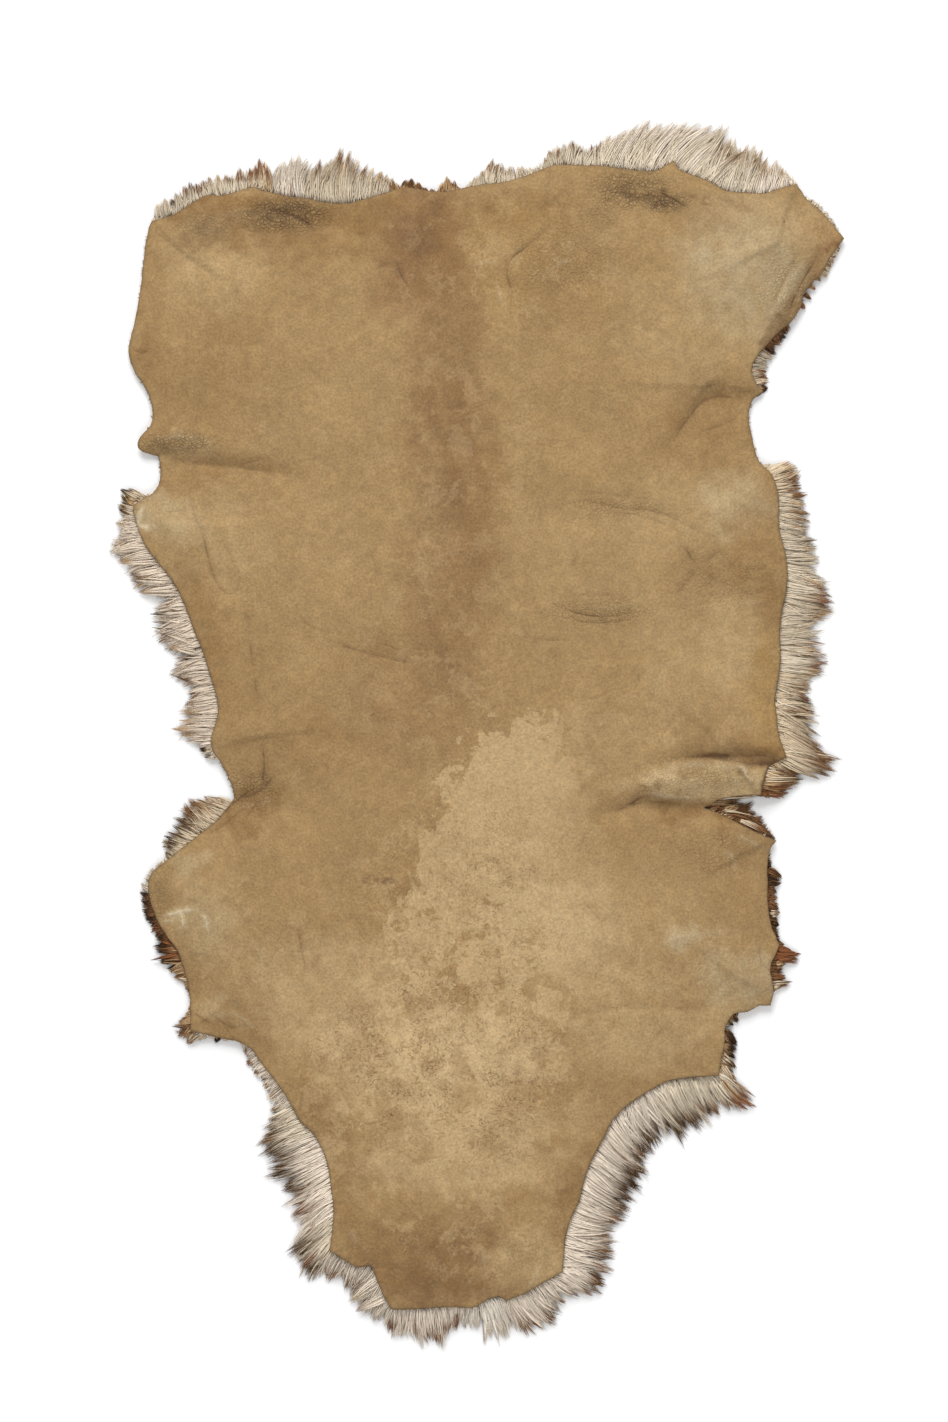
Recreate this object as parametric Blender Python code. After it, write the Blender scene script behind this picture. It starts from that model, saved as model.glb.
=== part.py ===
"""Hair-on hide laid flat with its flesh side up.

Two layers: the leather sheet ("skin") and the coat of hair it lies on ("fleece"), whose rim is drawn out into
the locks that show past the cut edge. Sizes are millimetres, heights are above the floor.
"""
import math

import bmesh
import bpy
import numpy as np
from mathutils import Vector
from mathutils.geometry import delaunay_2d_cdt

for old in list(bpy.data.objects):
    bpy.data.objects.remove(old, do_unlink=True)

# The cut edge is laid out on a pattern grid whose squares are SQUARE wide, counted across from the left and down
# from the rump. The object's middle lies at MIDDLE.
SQUARE = 0.9
MIDDLE = (476.4, 735.1)

SHEET = 2.0            # thickness of the leather
LAYER_GAP = 0.4        # air between the leather and the hair under it
LOFT = 22.0            # height of the leather's underside over well filled hair
RIM_HAIRY = 11.0       # the same at a cut edge with hair under it
RIM_BARE = 4.5         # the same where the edge has sunk or rolled under
RIM_FILL = 22.0        # hair this long past the edge fills the rim fully
RIM_RISE = 52.0        # distance over which the rim rises to the full loft
RISE_POWER = 1.15      # above 1 the rise starts softly
LOWEST = 3.6           # no underside comes lower than this
SWELL = 2.6            # slow rise and fall of the whole sheet
SWELL_START = 60.0     # distance from the rim at which it is in full
FOLD_END = 0.55        # share of a fold's rise that is left at its ends
FOLD_RUN_IN = 40.0     # length over which a fold comes to its full rise
RIM_PITCH = 10.0       # spacing of points along the cut edge, and so of the locks
INNER_PITCH = 22.0     # spacing of points over the sheet
FOLD_PITCH = 15.0      # spacing of points along a fold
RIM_CLEAR = 10.0       # inner points keep this far from the cut edge
POINT_CLEAR = 9.5      # and this far from each other
SHORTEST_LOCK = 4.0    # shorter hair is left out
TUCK = 2.0             # how far the foot of the rim stands in from the cut edge
LUMP = 4.0             # height of the hollows under the hair
LUMP_FLOOR = 0.15      # waves below this share are pressed level
LUMP_RIM = 20.0        # width of the level band along the rim
LUMP_RUN_IN = 40.0     # distance over which the hollows deepen
FLAT_RADIUS = 80.0     # the hair under the middle is pressed level

CORNER, CURVE = "corner", "curve"

# Each row is one station of the cut edge, clockwise seen from above:
# (across, down, kind of bend, hair across, hair down); the last two say how far the hair tips lie from the edge.
LEFT_HIND_CORNER = (
    (148, 227, CORNER, 0, 0),
    (153, 220, CURVE, 3, -6),
    (168, 216, CURVE, -3, -17),
    (180, 210, CURVE, -3, -18),
    (205, 195, CURVE, -4, -16),
    (222, 195, CURVE, -2, -21),
    (251, 187, CURVE, -1, -21),
)
RUMP_LEFT = (
    (261, 190, CURVE, -2, -33),
    (276, 193, CURVE, 0, -27),
    (290, 196, CURVE, 1, -39),
    (308, 198, CURVE, 0, -32),
    (325, 202, CURVE, -2, -44),
    (345, 203, CURVE, 4, -52),
    (360, 200, CURVE, 2, -32),
    (383, 193, CURVE, 2, -21),
    (399, 188, CURVE, 0, 0),
    (411, 187, CURVE, -1, -11),
    (428, 190, CURVE, 0, 0),
    (446, 191, CURVE, 0, -16),
    (460, 188, CURVE, 0, 0),
)
RUMP_RIGHT = (
    (475, 185, CURVE, 1, -10),
    (492, 183, CURVE, 1, -27),
    (506, 181, CURVE, -2, -17),
    (520, 177, CURVE, 0, -14),
    (534, 172, CURVE, 0, -3),
    (552, 165, CURVE, -2, -18),
    (568, 164, CURVE, 1, -26),
    (583, 165, CURVE, 3, -19),
    (600, 165, CURVE, -1, -24),
    (614, 167, CURVE, 0, -37),
    (640, 170, CURVE, 0, -47),
    (656, 170, CURVE, -5, -42),
    (674, 160, CORNER, 1, -40),
    (680, 169, CURVE, 11, -46),
    (694, 175, CURVE, 16, -52),
    (710, 181, CURVE, 16, -48),
    (726, 190, CURVE, 16, -48),
    (745, 192, CURVE, 13, -46),
    (760, 193, CURVE, 6, -28),
    (768, 192, CURVE, 8, -32),
    (782, 187, CURVE, 4, -20),
    (797, 183, CORNER, 0, 0),
)
RIGHT_HIND_CORNER = (
    (808, 199, CURVE, 2, -2),
    (822, 211, CURVE, 5, -4),
    (845, 238, CORNER, 0, 0),
    (832, 255, CURVE, 5, 3),
    (823, 272, CURVE, 5, 5),
    (815, 280, CURVE, 0, 0),
    (804, 294, CURVE, 0, 0),
    (802, 305, CURVE, 0, 0),
    (792, 321, CURVE, 0, 0),
    (779, 332, CURVE, 8, 7),
    (766, 346, CURVE, 10, 8),
    (755, 360, CURVE, 15, 4),
    (752, 371, CURVE, 17, 3),
    (756, 382, CURVE, 17, 0),
    (764, 391, CORNER, 0, 0),
    (753, 400, CURVE, 0, 0),
)
RIGHT_FLANK = (
    (749, 414, CURVE, 0, 0),
    (752, 434, CURVE, 0, 0),
    (759, 460, CURVE, 0, 0),
    (771, 473, CURVE, 30, -6),
    (778, 491, CURVE, 28, -2),
    (779, 510, CURVE, 31, 3),
    (780, 532, CURVE, 32, -1),
    (785, 550, CURVE, 34, 0),
    (788, 574, CURVE, 35, 0),
    (786, 594, CURVE, 46, 4),
    (783, 607, CURVE, 47, 2),
    (780, 633, CURVE, 38, 2),
    (781, 655, CURVE, 46, 0),
    (780, 668, CURVE, 46, -1),
    (777, 688, CURVE, 34, 2),
    (775, 701, CURVE, 38, 7),
    (777, 716, CURVE, 44, 10),
    (779, 734, CURVE, 50, 18),
    (787, 757, CORNER, 50, 16),
)
RIGHT_PLEAT = (
    (780, 761, CURVE, 22, 10),
    (768, 767, CORNER, 33, 14),
    (764, 781, CURVE, 36, 5),
    (761, 795, CORNER, 22, -2),
    (744, 796, CURVE, 0, 0),
    (722, 799, CURVE, 0, 0),
    (705, 808, CORNER, 0, 0),
    (720, 814, CURVE, 26, -12),
    (736, 822, CURVE, 23, -9),
    (752, 830, CURVE, 17, -6),
    (766, 836, CURVE, 6, -3),
    (777, 841, CORNER, 0, 0),
)
RIGHT_FORE = (
    (771, 849, CURVE, 0, 0),
    (768, 866, CURVE, 6, 3),
    (768, 880, CURVE, 15, 0),
    (768, 894, CURVE, 8, -2),
    (769, 909, CURVE, 13, 2),
    (772, 926, CURVE, 6, 3),
    (780, 945, CORNER, 5, 2),
    (776, 955, CURVE, 26, 3),
    (771, 966, CURVE, 12, 2),
    (772, 979, CURVE, 18, 4),
    (774, 992, CURVE, 0, 0),
    (771, 1006, CORNER, 0, 0),
    (760, 1006, CORNER, 0, 0),
    (748, 1012, CURVE, 0, 0),
    (734, 1015, CURVE, 2, 3),
    (726, 1027, CURVE, 9, 3),
    (725, 1043, CURVE, 12, 4),
    (721, 1063, CURVE, 14, 7),
    (719, 1076, CORNER, 35, 30),
)
NECK_RIGHT = (
    (704, 1077, CURVE, 30, 33),
    (688, 1078, CURVE, 20, 42),
    (670, 1081, CURVE, 20, 52),
    (655, 1088, CURVE, 20, 52),
    (640, 1097, CURVE, 18, 50),
    (625, 1108, CURVE, 24, 50),
    (612, 1122, CURVE, 24, 51),
    (604, 1138, CURVE, 34, 47),
    (595, 1154, CURVE, 44, 38),
    (588, 1170, CURVE, 42, 34),
    (583, 1186, CURVE, 42, 29),
    (579, 1202, CURVE, 38, 22),
    (572, 1217, CURVE, 44, 16),
    (566, 1235, CURVE, 48, 11),
    (564, 1254, CURVE, 52, 9),
)
NECK_END = (
    (563, 1272, CORNER, 42, 24),
    (551, 1279, CURVE, 30, 19),
    (540, 1285, CURVE, 28, 26),
    (527, 1293, CURVE, 34, 29),
    (515, 1298, CURVE, 28, 34),
    (507, 1301, CORNER, 12, 35),
    (498, 1297, CURVE, 3, 46),
    (486, 1301, CURVE, -2, 44),
    (474, 1308, CURVE, -2, 23),
    (456, 1308, CURVE, 0, 21),
    (440, 1308, CURVE, 5, 38),
    (425, 1309, CURVE, 1, 42),
    (409, 1310, CURVE, -1, 33),
    (392, 1310, CORNER, -3, 21),
    (384, 1297, CURVE, -14, 26),
    (377, 1280, CURVE, -21, 29),
    (371, 1266, CORNER, -25, 31),
    (356, 1268, CORNER, -10, 22),
    (345, 1261, CURVE, -9, 22),
    (329, 1251, CORNER, -12, 28),
)
NECK_LEFT = (
    (331, 1238, CURVE, -28, 37),
    (333, 1223, CURVE, -42, 32),
    (333, 1206, CURVE, -38, 24),
    (331, 1188, CURVE, -40, 25),
    (328, 1168, CURVE, -45, 20),
    (322, 1149, CURVE, -50, 28),
    (312, 1133, CURVE, -50, 17),
    (300, 1122, CURVE, -41, 20),
    (293, 1109, CURVE, -24, 14),
    (284, 1094, CURVE, -14, 11),
    (273, 1079, CURVE, -11, 9),
    (262, 1065, CURVE, -12, 9),
    (252, 1051, CURVE, -6, 10),
    (240, 1043, CURVE, 0, 0),
)
LEFT_FORE = (
    (222, 1039, CURVE, 0, 3),
    (205, 1035, CURVE, -4, 6),
    (190, 1031, CORNER, -6, 13),
    (190, 1021, CURVE, -18, 8),
    (190, 1009, CURVE, 0, 0),
    (188, 988, CURVE, -3, 1),
    (183, 968, CURVE, -13, 7),
    (177, 951, CURVE, -26, 10),
    (169, 940, CURVE, -10, 5),
    (157, 921, CURVE, -11, 4),
    (149, 898, CURVE, -9, 1),
    (148, 882, CURVE, -6, -3),
    (153, 871, CURVE, -2, -2),
    (166, 861, CURVE, -3, -3),
    (178, 851, CURVE, -13, -7),
    (191, 841, CURVE, -27, -6),
    (205, 830, CURVE, -28, -14),
    (217, 820, CURVE, -31, -18),
    (226, 809, CURVE, -33, -8),
    (234, 799, CORNER, 0, 0),
)
LEFT_FLANK = (
    (231, 785, CURVE, 0, 0),
    (221, 764, CURVE, 0, 0),
    (212, 750, CURVE, -9, 3),
    (211, 738, CURVE, -22, 4),
    (214, 727, CURVE, -40, 3),
    (218, 711, CURVE, -38, 1),
    (216, 696, CURVE, -32, 6),
    (212, 682, CURVE, -25, 4),
    (207, 666, CURVE, -37, 7),
    (202, 650, CURVE, -27, 8),
    (196, 636, CURVE, -38, 4),
    (191, 623, CURVE, -40, 6),
    (186, 609, CURVE, -34, 5),
    (180, 595, CURVE, -17, 6),
    (171, 579, CURVE, -36, 5),
    (159, 564, CURVE, -33, 8),
    (148, 550, CURVE, -42, 3),
    (140, 535, CURVE, -24, 0),
    (135, 519, CURVE, -20, 4),
    (133, 507, CURVE, -15, -6),
    (143, 498, CURVE, -21, -9),
    (151, 494, CURVE, 0, 0),
)
LEFT_TONGUE = (
    (158, 484, CURVE, 0, 0),
    (160, 468, CURVE, 0, 0),
    (158, 456, CORNER, 0, 0),
    (142, 451, CURVE, 0, 0),
    (137, 445, CURVE, 0, 0),
    (141, 435, CURVE, 0, 0),
    (150, 425, CURVE, 0, 0),
    (152, 410, CURVE, 0, 0),
    (146, 390, CURVE, 0, 0),
    (133, 369, CURVE, 0, 0),
    (128, 348, CURVE, 0, 0),
    (134, 322, CURVE, 0, 0),
    (140, 288, CURVE, 0, 0),
    (144, 250, CURVE, 0, 0),
)
CUT_EDGE = (LEFT_HIND_CORNER + RUMP_LEFT + RUMP_RIGHT + RIGHT_HIND_CORNER + RIGHT_FLANK + RIGHT_PLEAT + RIGHT_FORE
            + NECK_RIGHT + NECK_END + NECK_LEFT + LEFT_FORE + LEFT_FLANK + LEFT_TONGUE)

# Each row is one fold of the leather: (its line over the pattern grid, rise, half width).
# A rise above nought is a ridge, one below is a trough.
FOLDS = (
    (((622, 797), (662, 779), (712, 777), (763, 780)), 7.5, 17.0),       # right pleat, its crest
    (((650, 766), (700, 757), (738, 758), (772, 767)), -5.5, 9.0),       # right pleat, crease above it
    (((598, 817), (640, 803), (680, 806), (708, 812)), -5.0, 9.0),       # right pleat, crease below it
    (((141, 441), (175, 443), (215, 446)), 4.5, 13.0),                   # left tongue
    (((158, 459), (200, 463), (240, 469), (292, 477)), -5.0, 10.0),      # left crease under the tongue
    (((752, 403), (715, 395), (688, 425), (668, 452)), -4.5, 14.0),      # right hind fold
    (((818, 252), (796, 282), (774, 315), (757, 352)), 3.5, 15.0),       # right hind rolled edge
    (((200, 520), (213, 572), (234, 598), (248, 645), (260, 700)), -3.0, 14.0),  # left flank valley
    (((236, 801), (262, 788), (276, 762)), -4.5, 11.0),                  # left notch crease
    (((556, 505), (622, 508), (690, 528), (724, 540)), -2.6, 14.0),      # right flank wrinkle
    (((398, 205), (414, 262), (408, 300)), -2.6, 18.0),                  # spine hollow at the rump
    (((505, 300), (510, 262), (545, 240)), -2.2, 12.0),                  # short crease on the rump
    (((455, 1200), (448, 1250), (452, 1302)), -2.6, 20.0),               # neck hollow
    (((545, 1200), (520, 1245), (512, 1290)), 2.6, 18.0),                # neck ridge
    (((330, 640), (376, 655), (420, 668)), -2.0, 14.0),                  # soft wrinkle left of the middle
)

# Sections of a lock: (share of its length, share of the width it has to itself, share of the rim's height)
LOCK_SECTIONS = (
    (0.62, 0.80, 0.46),
    (1.00, 0.20, 0.00),
)
TIP_HEIGHT = 1.4       # blunt end of a lock
LOCK_CROWN = 0.8       # width of a lock's top as a share of its foot
LEAST_LEAVING = 0.3    # hair that leaves the edge less steeply than this sine makes no lock

# Each row is a slow wave of the whole sheet: (length, bearing in degrees, shift in degrees, share of SWELL)
WAVES = (
    (330.0, 20.0, 40.0, 0.42),
    (210.0, 105.0, 200.0, 0.33),
    (145.0, 63.0, 300.0, 0.25),
)
# The same for the hollows under the hair, as a share of LUMP
HOLLOWS = (
    (96.0, 15.0, 10.0, 0.5),
    (78.0, 74.0, 130.0, 0.4),
    (60.0, 132.0, 250.0, 0.3),
)


def on_floor(across, down):
    """Pattern squares to millimetres about the middle, rump at +Y."""
    return np.array(((across - MIDDLE[0]) * SQUARE, (MIDDLE[1] - down) * SQUARE))


def ease(t):
    """Soft step from 0 to 1."""
    t = np.clip(t, 0.0, 1.0)
    return t * t * (3.0 - 2.0 * t)


def curve_between(before, start, end, after, t):
    """Point of the smooth curve from start to end."""
    return 0.5 * (2.0 * start + (end - before) * t + (2.0 * before - 5.0 * start + 4.0 * end - after) * t * t
                  + (3.0 * start - before - 3.0 * end + after) * t ** 3)


def cut_edge():
    """Points of the cut edge and the reach of the hair at each."""
    places = [on_floor(row[0], row[1]) for row in CUT_EDGE]
    reaches = [np.array((row[3], -row[4])) * SQUARE for row in CUT_EDGE]
    count = len(CUT_EDGE)
    edge, hair = [], []
    for i in range(count):
        start, end = places[i], places[(i + 1) % count]
        before, after = places[i - 1], places[(i + 2) % count]
        if CUT_EDGE[i][2] == CORNER:
            before = start - (end - start)
        if CUT_EDGE[(i + 1) % count][2] == CORNER:
            after = end + (end - start)
        steps = max(1, round(np.linalg.norm(end - start) / RIM_PITCH))
        for step in range(steps):
            t = step / steps
            edge.append(curve_between(before, start, end, after, t))
            hair.append(reaches[i] * (1.0 - t) + reaches[(i + 1) % count] * t)
    return np.array(edge), np.array(hair)


def along(points, pitch):
    """Points at an even pitch along an open line."""
    out = [points[0]]
    for start, end in zip(points, points[1:]):
        steps = max(1, round(np.linalg.norm(end - start) / pitch))
        out += [start + (end - start) * (k / steps) for k in range(1, steps + 1)]
    return out


def distance_to_line(where, points, closed=False):
    """Distance from each place to a line, and the number of the nearest stretch with its share."""
    ends = list(zip(points, points[1:])) + ([(points[-1], points[0])] if closed else [])
    best = np.full(len(where), np.inf)
    stretch = np.zeros(len(where), dtype=int)
    share = np.zeros(len(where))
    for k, (start, end) in enumerate(ends):
        run = end - start
        t = np.clip((where - start) @ run / max(run @ run, 1e-9), 0.0, 1.0)
        gap = np.linalg.norm(where - (start + t[:, None] * run), axis=1)
        nearer = gap < best
        best[nearer], stretch[nearer], share[nearer] = gap[nearer], k, t[nearer]
    return best, stretch, share


def inside(where, ring):
    """True for each place inside the closed ring."""
    odd = np.zeros(len(where), dtype=bool)
    for start, end in zip(ring, np.roll(ring, -1, axis=0)):
        spans = (start[1] > where[:, 1]) != (end[1] > where[:, 1])
        rise = end[1] - start[1]
        crossing = start[0] + (where[:, 1] - start[1]) * (end[0] - start[0]) / (rise if abs(rise) > 1e-9 else 1e-9)
        odd ^= spans & (where[:, 0] < crossing)
    return odd


def waves(where, rows):
    """Sum of slow waves, about -1 to 1."""
    total = np.zeros(len(where))
    for length, bearing, shift, share in rows:
        heading = np.array((math.cos(math.radians(bearing)), math.sin(math.radians(bearing))))
        total += share * np.sin(where @ heading * math.tau / length + math.radians(shift))
    return total


def underside(where, edge, hair):
    """Height of the leather's underside at each place."""
    reach = np.linalg.norm(hair, axis=1)
    rim = RIM_BARE + (RIM_HAIRY - RIM_BARE) * ease(reach / RIM_FILL)
    rim = (np.roll(rim, 1) + 2.0 * rim + np.roll(rim, -1)) / 4.0
    away, stretch, share = distance_to_line(where, edge, closed=True)
    rim_here = rim[stretch] * (1.0 - share) + rim[(stretch + 1) % len(rim)] * share
    height = rim_here + (LOFT - rim_here) * (1.0 - np.exp(-((away / RIM_RISE) ** RISE_POWER)))
    height += SWELL * waves(where, WAVES) * ease(away / SWELL_START)
    for line, rise, half_width in FOLDS:
        points = [on_floor(*spot) for spot in line]
        off = distance_to_line(where, points)[0]
        ends = np.minimum(np.linalg.norm(where - points[0], axis=1), np.linalg.norm(where - points[-1], axis=1))
        fade = FOLD_END + (1.0 - FOLD_END) * ease(ends / FOLD_RUN_IN)
        height += rise * fade * np.exp(-((off / half_width) ** 2))
    return np.maximum(height, LOWEST)


def inner_points(edge):
    """Points over the sheet: along each fold and its two feet, then an even grid between them."""
    chosen = []
    for line, _, half_width in FOLDS:
        points = [on_floor(*spot) for spot in line]
        middle = along(points, FOLD_PITCH)
        for k, spot in enumerate(middle):
            ahead = middle[min(k + 1, len(middle) - 1)] - middle[max(k - 1, 0)]
            aside = np.array((-ahead[1], ahead[0])) / np.linalg.norm(ahead)
            chosen += [spot, spot + aside * half_width, spot - aside * half_width]
    low, high = edge.min(axis=0), edge.max(axis=0)
    row_pitch = INNER_PITCH * math.sqrt(0.75)
    for j in range(int((high[1] - low[1]) / row_pitch) + 1):
        start = low[0] + (INNER_PITCH / 2 if j % 2 else 0.0)
        chosen += [np.array((x, low[1] + j * row_pitch)) for x in np.arange(start, high[0], INNER_PITCH)]
    chosen = np.array(chosen)
    clear = inside(chosen, edge) & (distance_to_line(chosen, edge, closed=True)[0] > RIM_CLEAR)
    kept = []
    for spot in chosen[clear]:
        if all(np.hypot(*(spot - other)) > POINT_CLEAR for other in kept):
            kept.append(spot)
    return np.array(kept)


def triangles_over(edge, inner):
    """Triangles that fill the ring and use every inner point, facing up."""
    spots = [Vector(p) for p in np.vstack((edge, inner))]
    ring = [(i, (i + 1) % len(edge)) for i in range(len(edge))]
    found = delaunay_2d_cdt(spots, ring, [], 1, 1e-6, True)
    names = [origin[0] for origin in found[3]]
    centres = np.array([sum((found[0][k] for k in face), Vector((0.0, 0.0))) / 3.0 for face in found[2]])
    faces = []
    for (a, b, c), within in zip(found[2], inside(centres, edge)):
        if not within:
            continue
        pa, pb, pc = found[0][a], found[0][b], found[0][c]
        turn = (pb - pa).cross(pc - pa)
        faces.append((names[a], names[b], names[c]) if turn > 0 else (names[a], names[c], names[b]))
    return faces


def split(a, b, c, d):
    """Four corners as two triangles."""
    return [(a, b, c), (a, c, d)]


def layer(top, bottom, faces, ring_count):
    """Closed layer between two sets of points with the same triangles; the ring runs clockwise."""
    count = len(top)
    points = np.vstack((top, bottom))
    shell = list(faces) + [(a + count, c + count, b + count) for a, b, c in faces]
    walls = []
    for i in range(ring_count):
        j = (i + 1) % ring_count
        walls.append((i, j, j + count, i + count))
    return points, shell, walls


def shows_lock(run, reach):
    """True where the hair at a stretch of the edge is long enough and leaves the edge outward."""
    length = np.linalg.norm(reach)
    outward = np.array((-run[1], run[0])) / np.linalg.norm(run)
    return length >= SHORTEST_LOCK and reach @ outward >= LEAST_LEAVING * length


def lock(points, wall, root, edge_pair, hair_pair):
    """One lock drawn out of a stretch of the rim wall: new points and its triangles."""
    new, faces = [], []
    first = list(wall)
    rim_height = min(points[wall[0]][2], points[wall[1]][2])
    for length_share, width_share, height_share in LOCK_SECTIONS:
        ends = [edge_pair[k] + hair_pair[k] * length_share for k in (0, 1)]
        middle, half = (ends[0] + ends[1]) / 2.0, (ends[1] - ends[0]) / 2.0 * width_share
        height = max(TIP_HEIGHT, rim_height * height_share)
        crown = half * LOCK_CROWN
        section = [(*(middle - crown), height), (*(middle + crown), height),
                   (*(middle + half), 0.0), (*(middle - half), 0.0)]
        names = [root + len(new) + k for k in range(4)]
        new += section
        for k in range(4):
            n = (k + 1) % 4
            faces += split(first[k], first[n], names[n], names[k])
        first = names
    return new, faces + split(*first)


def add_part(name, points, faces, colour, roughness):
    """Mesh object with its own material, in metres."""
    mesh = bpy.data.meshes.new(name)
    mesh.from_pydata([tuple(p * 0.001 for p in spot) for spot in points], [], faces)
    shape = bmesh.new()
    shape.from_mesh(mesh)
    bmesh.ops.recalc_face_normals(shape, faces=shape.faces)
    shape.to_mesh(mesh)
    shape.free()
    material = bpy.data.materials.new(name)
    material.use_nodes = True
    shader = material.node_tree.nodes["Principled BSDF"]
    shader.inputs["Base Color"].default_value = (*colour, 1.0)
    shader.inputs["Roughness"].default_value = roughness
    shader.inputs["Metallic"].default_value = 0.0
    mesh.materials.append(material)
    obj = bpy.data.objects.new(name, mesh)
    bpy.context.scene.collection.objects.link(obj)


edge, hair = cut_edge()
inner = inner_points(edge)
plan = np.vstack((edge, inner))
faces = triangles_over(edge, inner)
under = underside(plan, edge, hair)
ring_count = len(edge)

# The leather: the same plan twice, one sheet thickness apart.
sheet_top = np.column_stack((plan, under + SHEET))
sheet_bottom = np.column_stack((plan, under))
points, shell, walls = layer(sheet_top, sheet_bottom, faces, ring_count)
for wall in walls:
    shell += split(*wall)
add_part("skin", points, shell, (0.38, 0.26, 0.115), 0.72)

# The hair: its top follows the leather, its foot is level with soft hollows between.
inward = np.zeros_like(edge)
for i in range(ring_count):
    run = edge[(i + 1) % ring_count] - edge[i - 1]
    inward[i] = np.array((run[1], -run[0])) / np.linalg.norm(run)
foot_plan = plan.copy()
foot_plan[:ring_count] += inward * TUCK
away = distance_to_line(plan, edge, closed=True)[0]
hollow = LUMP * np.clip(waves(plan, HOLLOWS) - LUMP_FLOOR, 0.0, 1.0) * ease((away - LUMP_RIM) / LUMP_RUN_IN)
hollow *= ease((np.linalg.norm(plan, axis=1) - FLAT_RADIUS) / LUMP_RUN_IN)
coat_top = np.column_stack((plan, under - LAYER_GAP))
coat_foot = np.column_stack((foot_plan, hollow))
points, shell, walls = layer(coat_top, coat_foot, faces, ring_count)
points = [tuple(p) for p in points]
locks = 0
for i, wall in enumerate(walls):
    j = (i + 1) % ring_count
    if not shows_lock(edge[j] - edge[i], (hair[i] + hair[j]) / 2.0):
        shell += split(*wall)
        continue
    new, sides = lock(points, wall, len(points), (edge[i], edge[j]), (hair[i], hair[j]))
    points += new
    shell += sides
    locks += 1
add_part("fleece", points, shell, (0.56, 0.48, 0.38), 0.9)

tris = {o.name: sum(len(f.vertices) - 2 for f in o.data.polygons) for o in bpy.context.scene.objects}
print("locks", locks, "rim points", ring_count, "triangles", tris)
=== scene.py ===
"""Hair-on hide laid flat with its flesh side up: the leather, the coat under it and the hair round its rim.

Plans and tables are in pattern squares, counted across from the left and down from the rump. Lengths are in
millimetres unless a name says metres, and meshes are made in metres.
"""
import math

import bmesh
import bpy
import numpy as np
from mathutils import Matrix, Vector
from mathutils.geometry import delaunay_2d_cdt
from mathutils.kdtree import KDTree


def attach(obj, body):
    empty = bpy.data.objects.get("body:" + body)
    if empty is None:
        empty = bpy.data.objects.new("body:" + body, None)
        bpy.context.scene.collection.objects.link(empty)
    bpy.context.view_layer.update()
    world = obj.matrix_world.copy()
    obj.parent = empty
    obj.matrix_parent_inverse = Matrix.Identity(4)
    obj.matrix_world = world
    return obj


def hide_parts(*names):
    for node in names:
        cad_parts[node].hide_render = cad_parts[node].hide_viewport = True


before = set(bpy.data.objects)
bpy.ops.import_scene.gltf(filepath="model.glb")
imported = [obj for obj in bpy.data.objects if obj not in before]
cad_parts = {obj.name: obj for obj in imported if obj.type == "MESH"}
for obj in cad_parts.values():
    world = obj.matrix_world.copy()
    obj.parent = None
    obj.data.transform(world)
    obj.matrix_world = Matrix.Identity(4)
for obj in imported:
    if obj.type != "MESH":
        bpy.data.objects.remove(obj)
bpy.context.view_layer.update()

MM = 0.001
SQUARE = 0.9
MIDDLE = (476.4, 735.1)

# The leather and how it lies: the same values as the solids.
SHEET = 2.0            # thickness of the leather
LOFT = 22.0            # height of the leather's underside over well filled hair
RIM_HAIRY = 11.0       # the same at a cut edge with hair under it
RIM_BARE = 4.5         # the same where the edge has sunk or rolled under
RIM_FILL = 22.0        # hair this long past the edge fills the rim fully
RIM_RISE = 52.0        # distance over which the rim rises to the full loft
RISE_POWER = 1.15      # above 1 the rise starts softly
LOWEST = 3.6           # no underside comes lower than this
SWELL = 2.6            # slow rise and fall of the whole sheet
SWELL_START = 60.0     # distance from the rim at which it is in full
FOLD_END = 0.55        # share of a fold's rise that is left at its ends
FOLD_RUN_IN = 40.0     # length over which a fold comes to its full rise
COARSE = 10.0          # spacing of points along the cut edge for heights

# How finely the pieces are meshed.
EDGE_PITCH = 2.6       # along the cut edge
TOP_PITCH = 2.95       # over the leather's face
FOOT_PITCH = 8.0       # over the leather's underside, which lies on the coat
CREASE_PITCH = 1.9     # along a fine crease
COAT_PITCH = 15.0      # over the coat's body
TOP_INSET = 0.7        # how far the face stops short of the cut edge, for the rounded rim
FOOT_INSET = 0.6
COAT_INSET = 5.0       # the coat's body stops short of the cut edge, and hair covers its rim
COAT_GAP = 1.6         # air between the leather and the coat's body
TINY = 1e-9            # guards a division

CORNER, CURVE = "corner", "curve"

# Each row is one station of the cut edge, clockwise seen from above:
# (across, down, kind of bend, hair across, hair down); the last two say how far the hair's tips lie from
# the edge.
LEFT_HIND_CORNER = (
    (148, 227, CORNER, 0, 0),
    (153, 220, CURVE, 3, -6),
    (168, 216, CURVE, -3, -17),
    (180, 210, CURVE, -3, -18),
    (205, 195, CURVE, -4, -16),
    (222, 195, CURVE, -2, -21),
    (251, 187, CURVE, -1, -21),
)
RUMP_LEFT = (
    (261, 190, CURVE, -2, -33),
    (276, 193, CURVE, 0, -27),
    (290, 196, CURVE, 1, -39),
    (308, 198, CURVE, 0, -32),
    (325, 202, CURVE, -2, -44),
    (345, 203, CURVE, 4, -52),
    (360, 200, CURVE, 2, -32),
    (383, 193, CURVE, 2, -21),
    (399, 188, CURVE, 0, 0),
    (411, 187, CURVE, -1, -11),
    (428, 190, CURVE, 0, 0),
    (446, 191, CURVE, 0, -16),
    (460, 188, CURVE, 0, 0),
)
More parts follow.
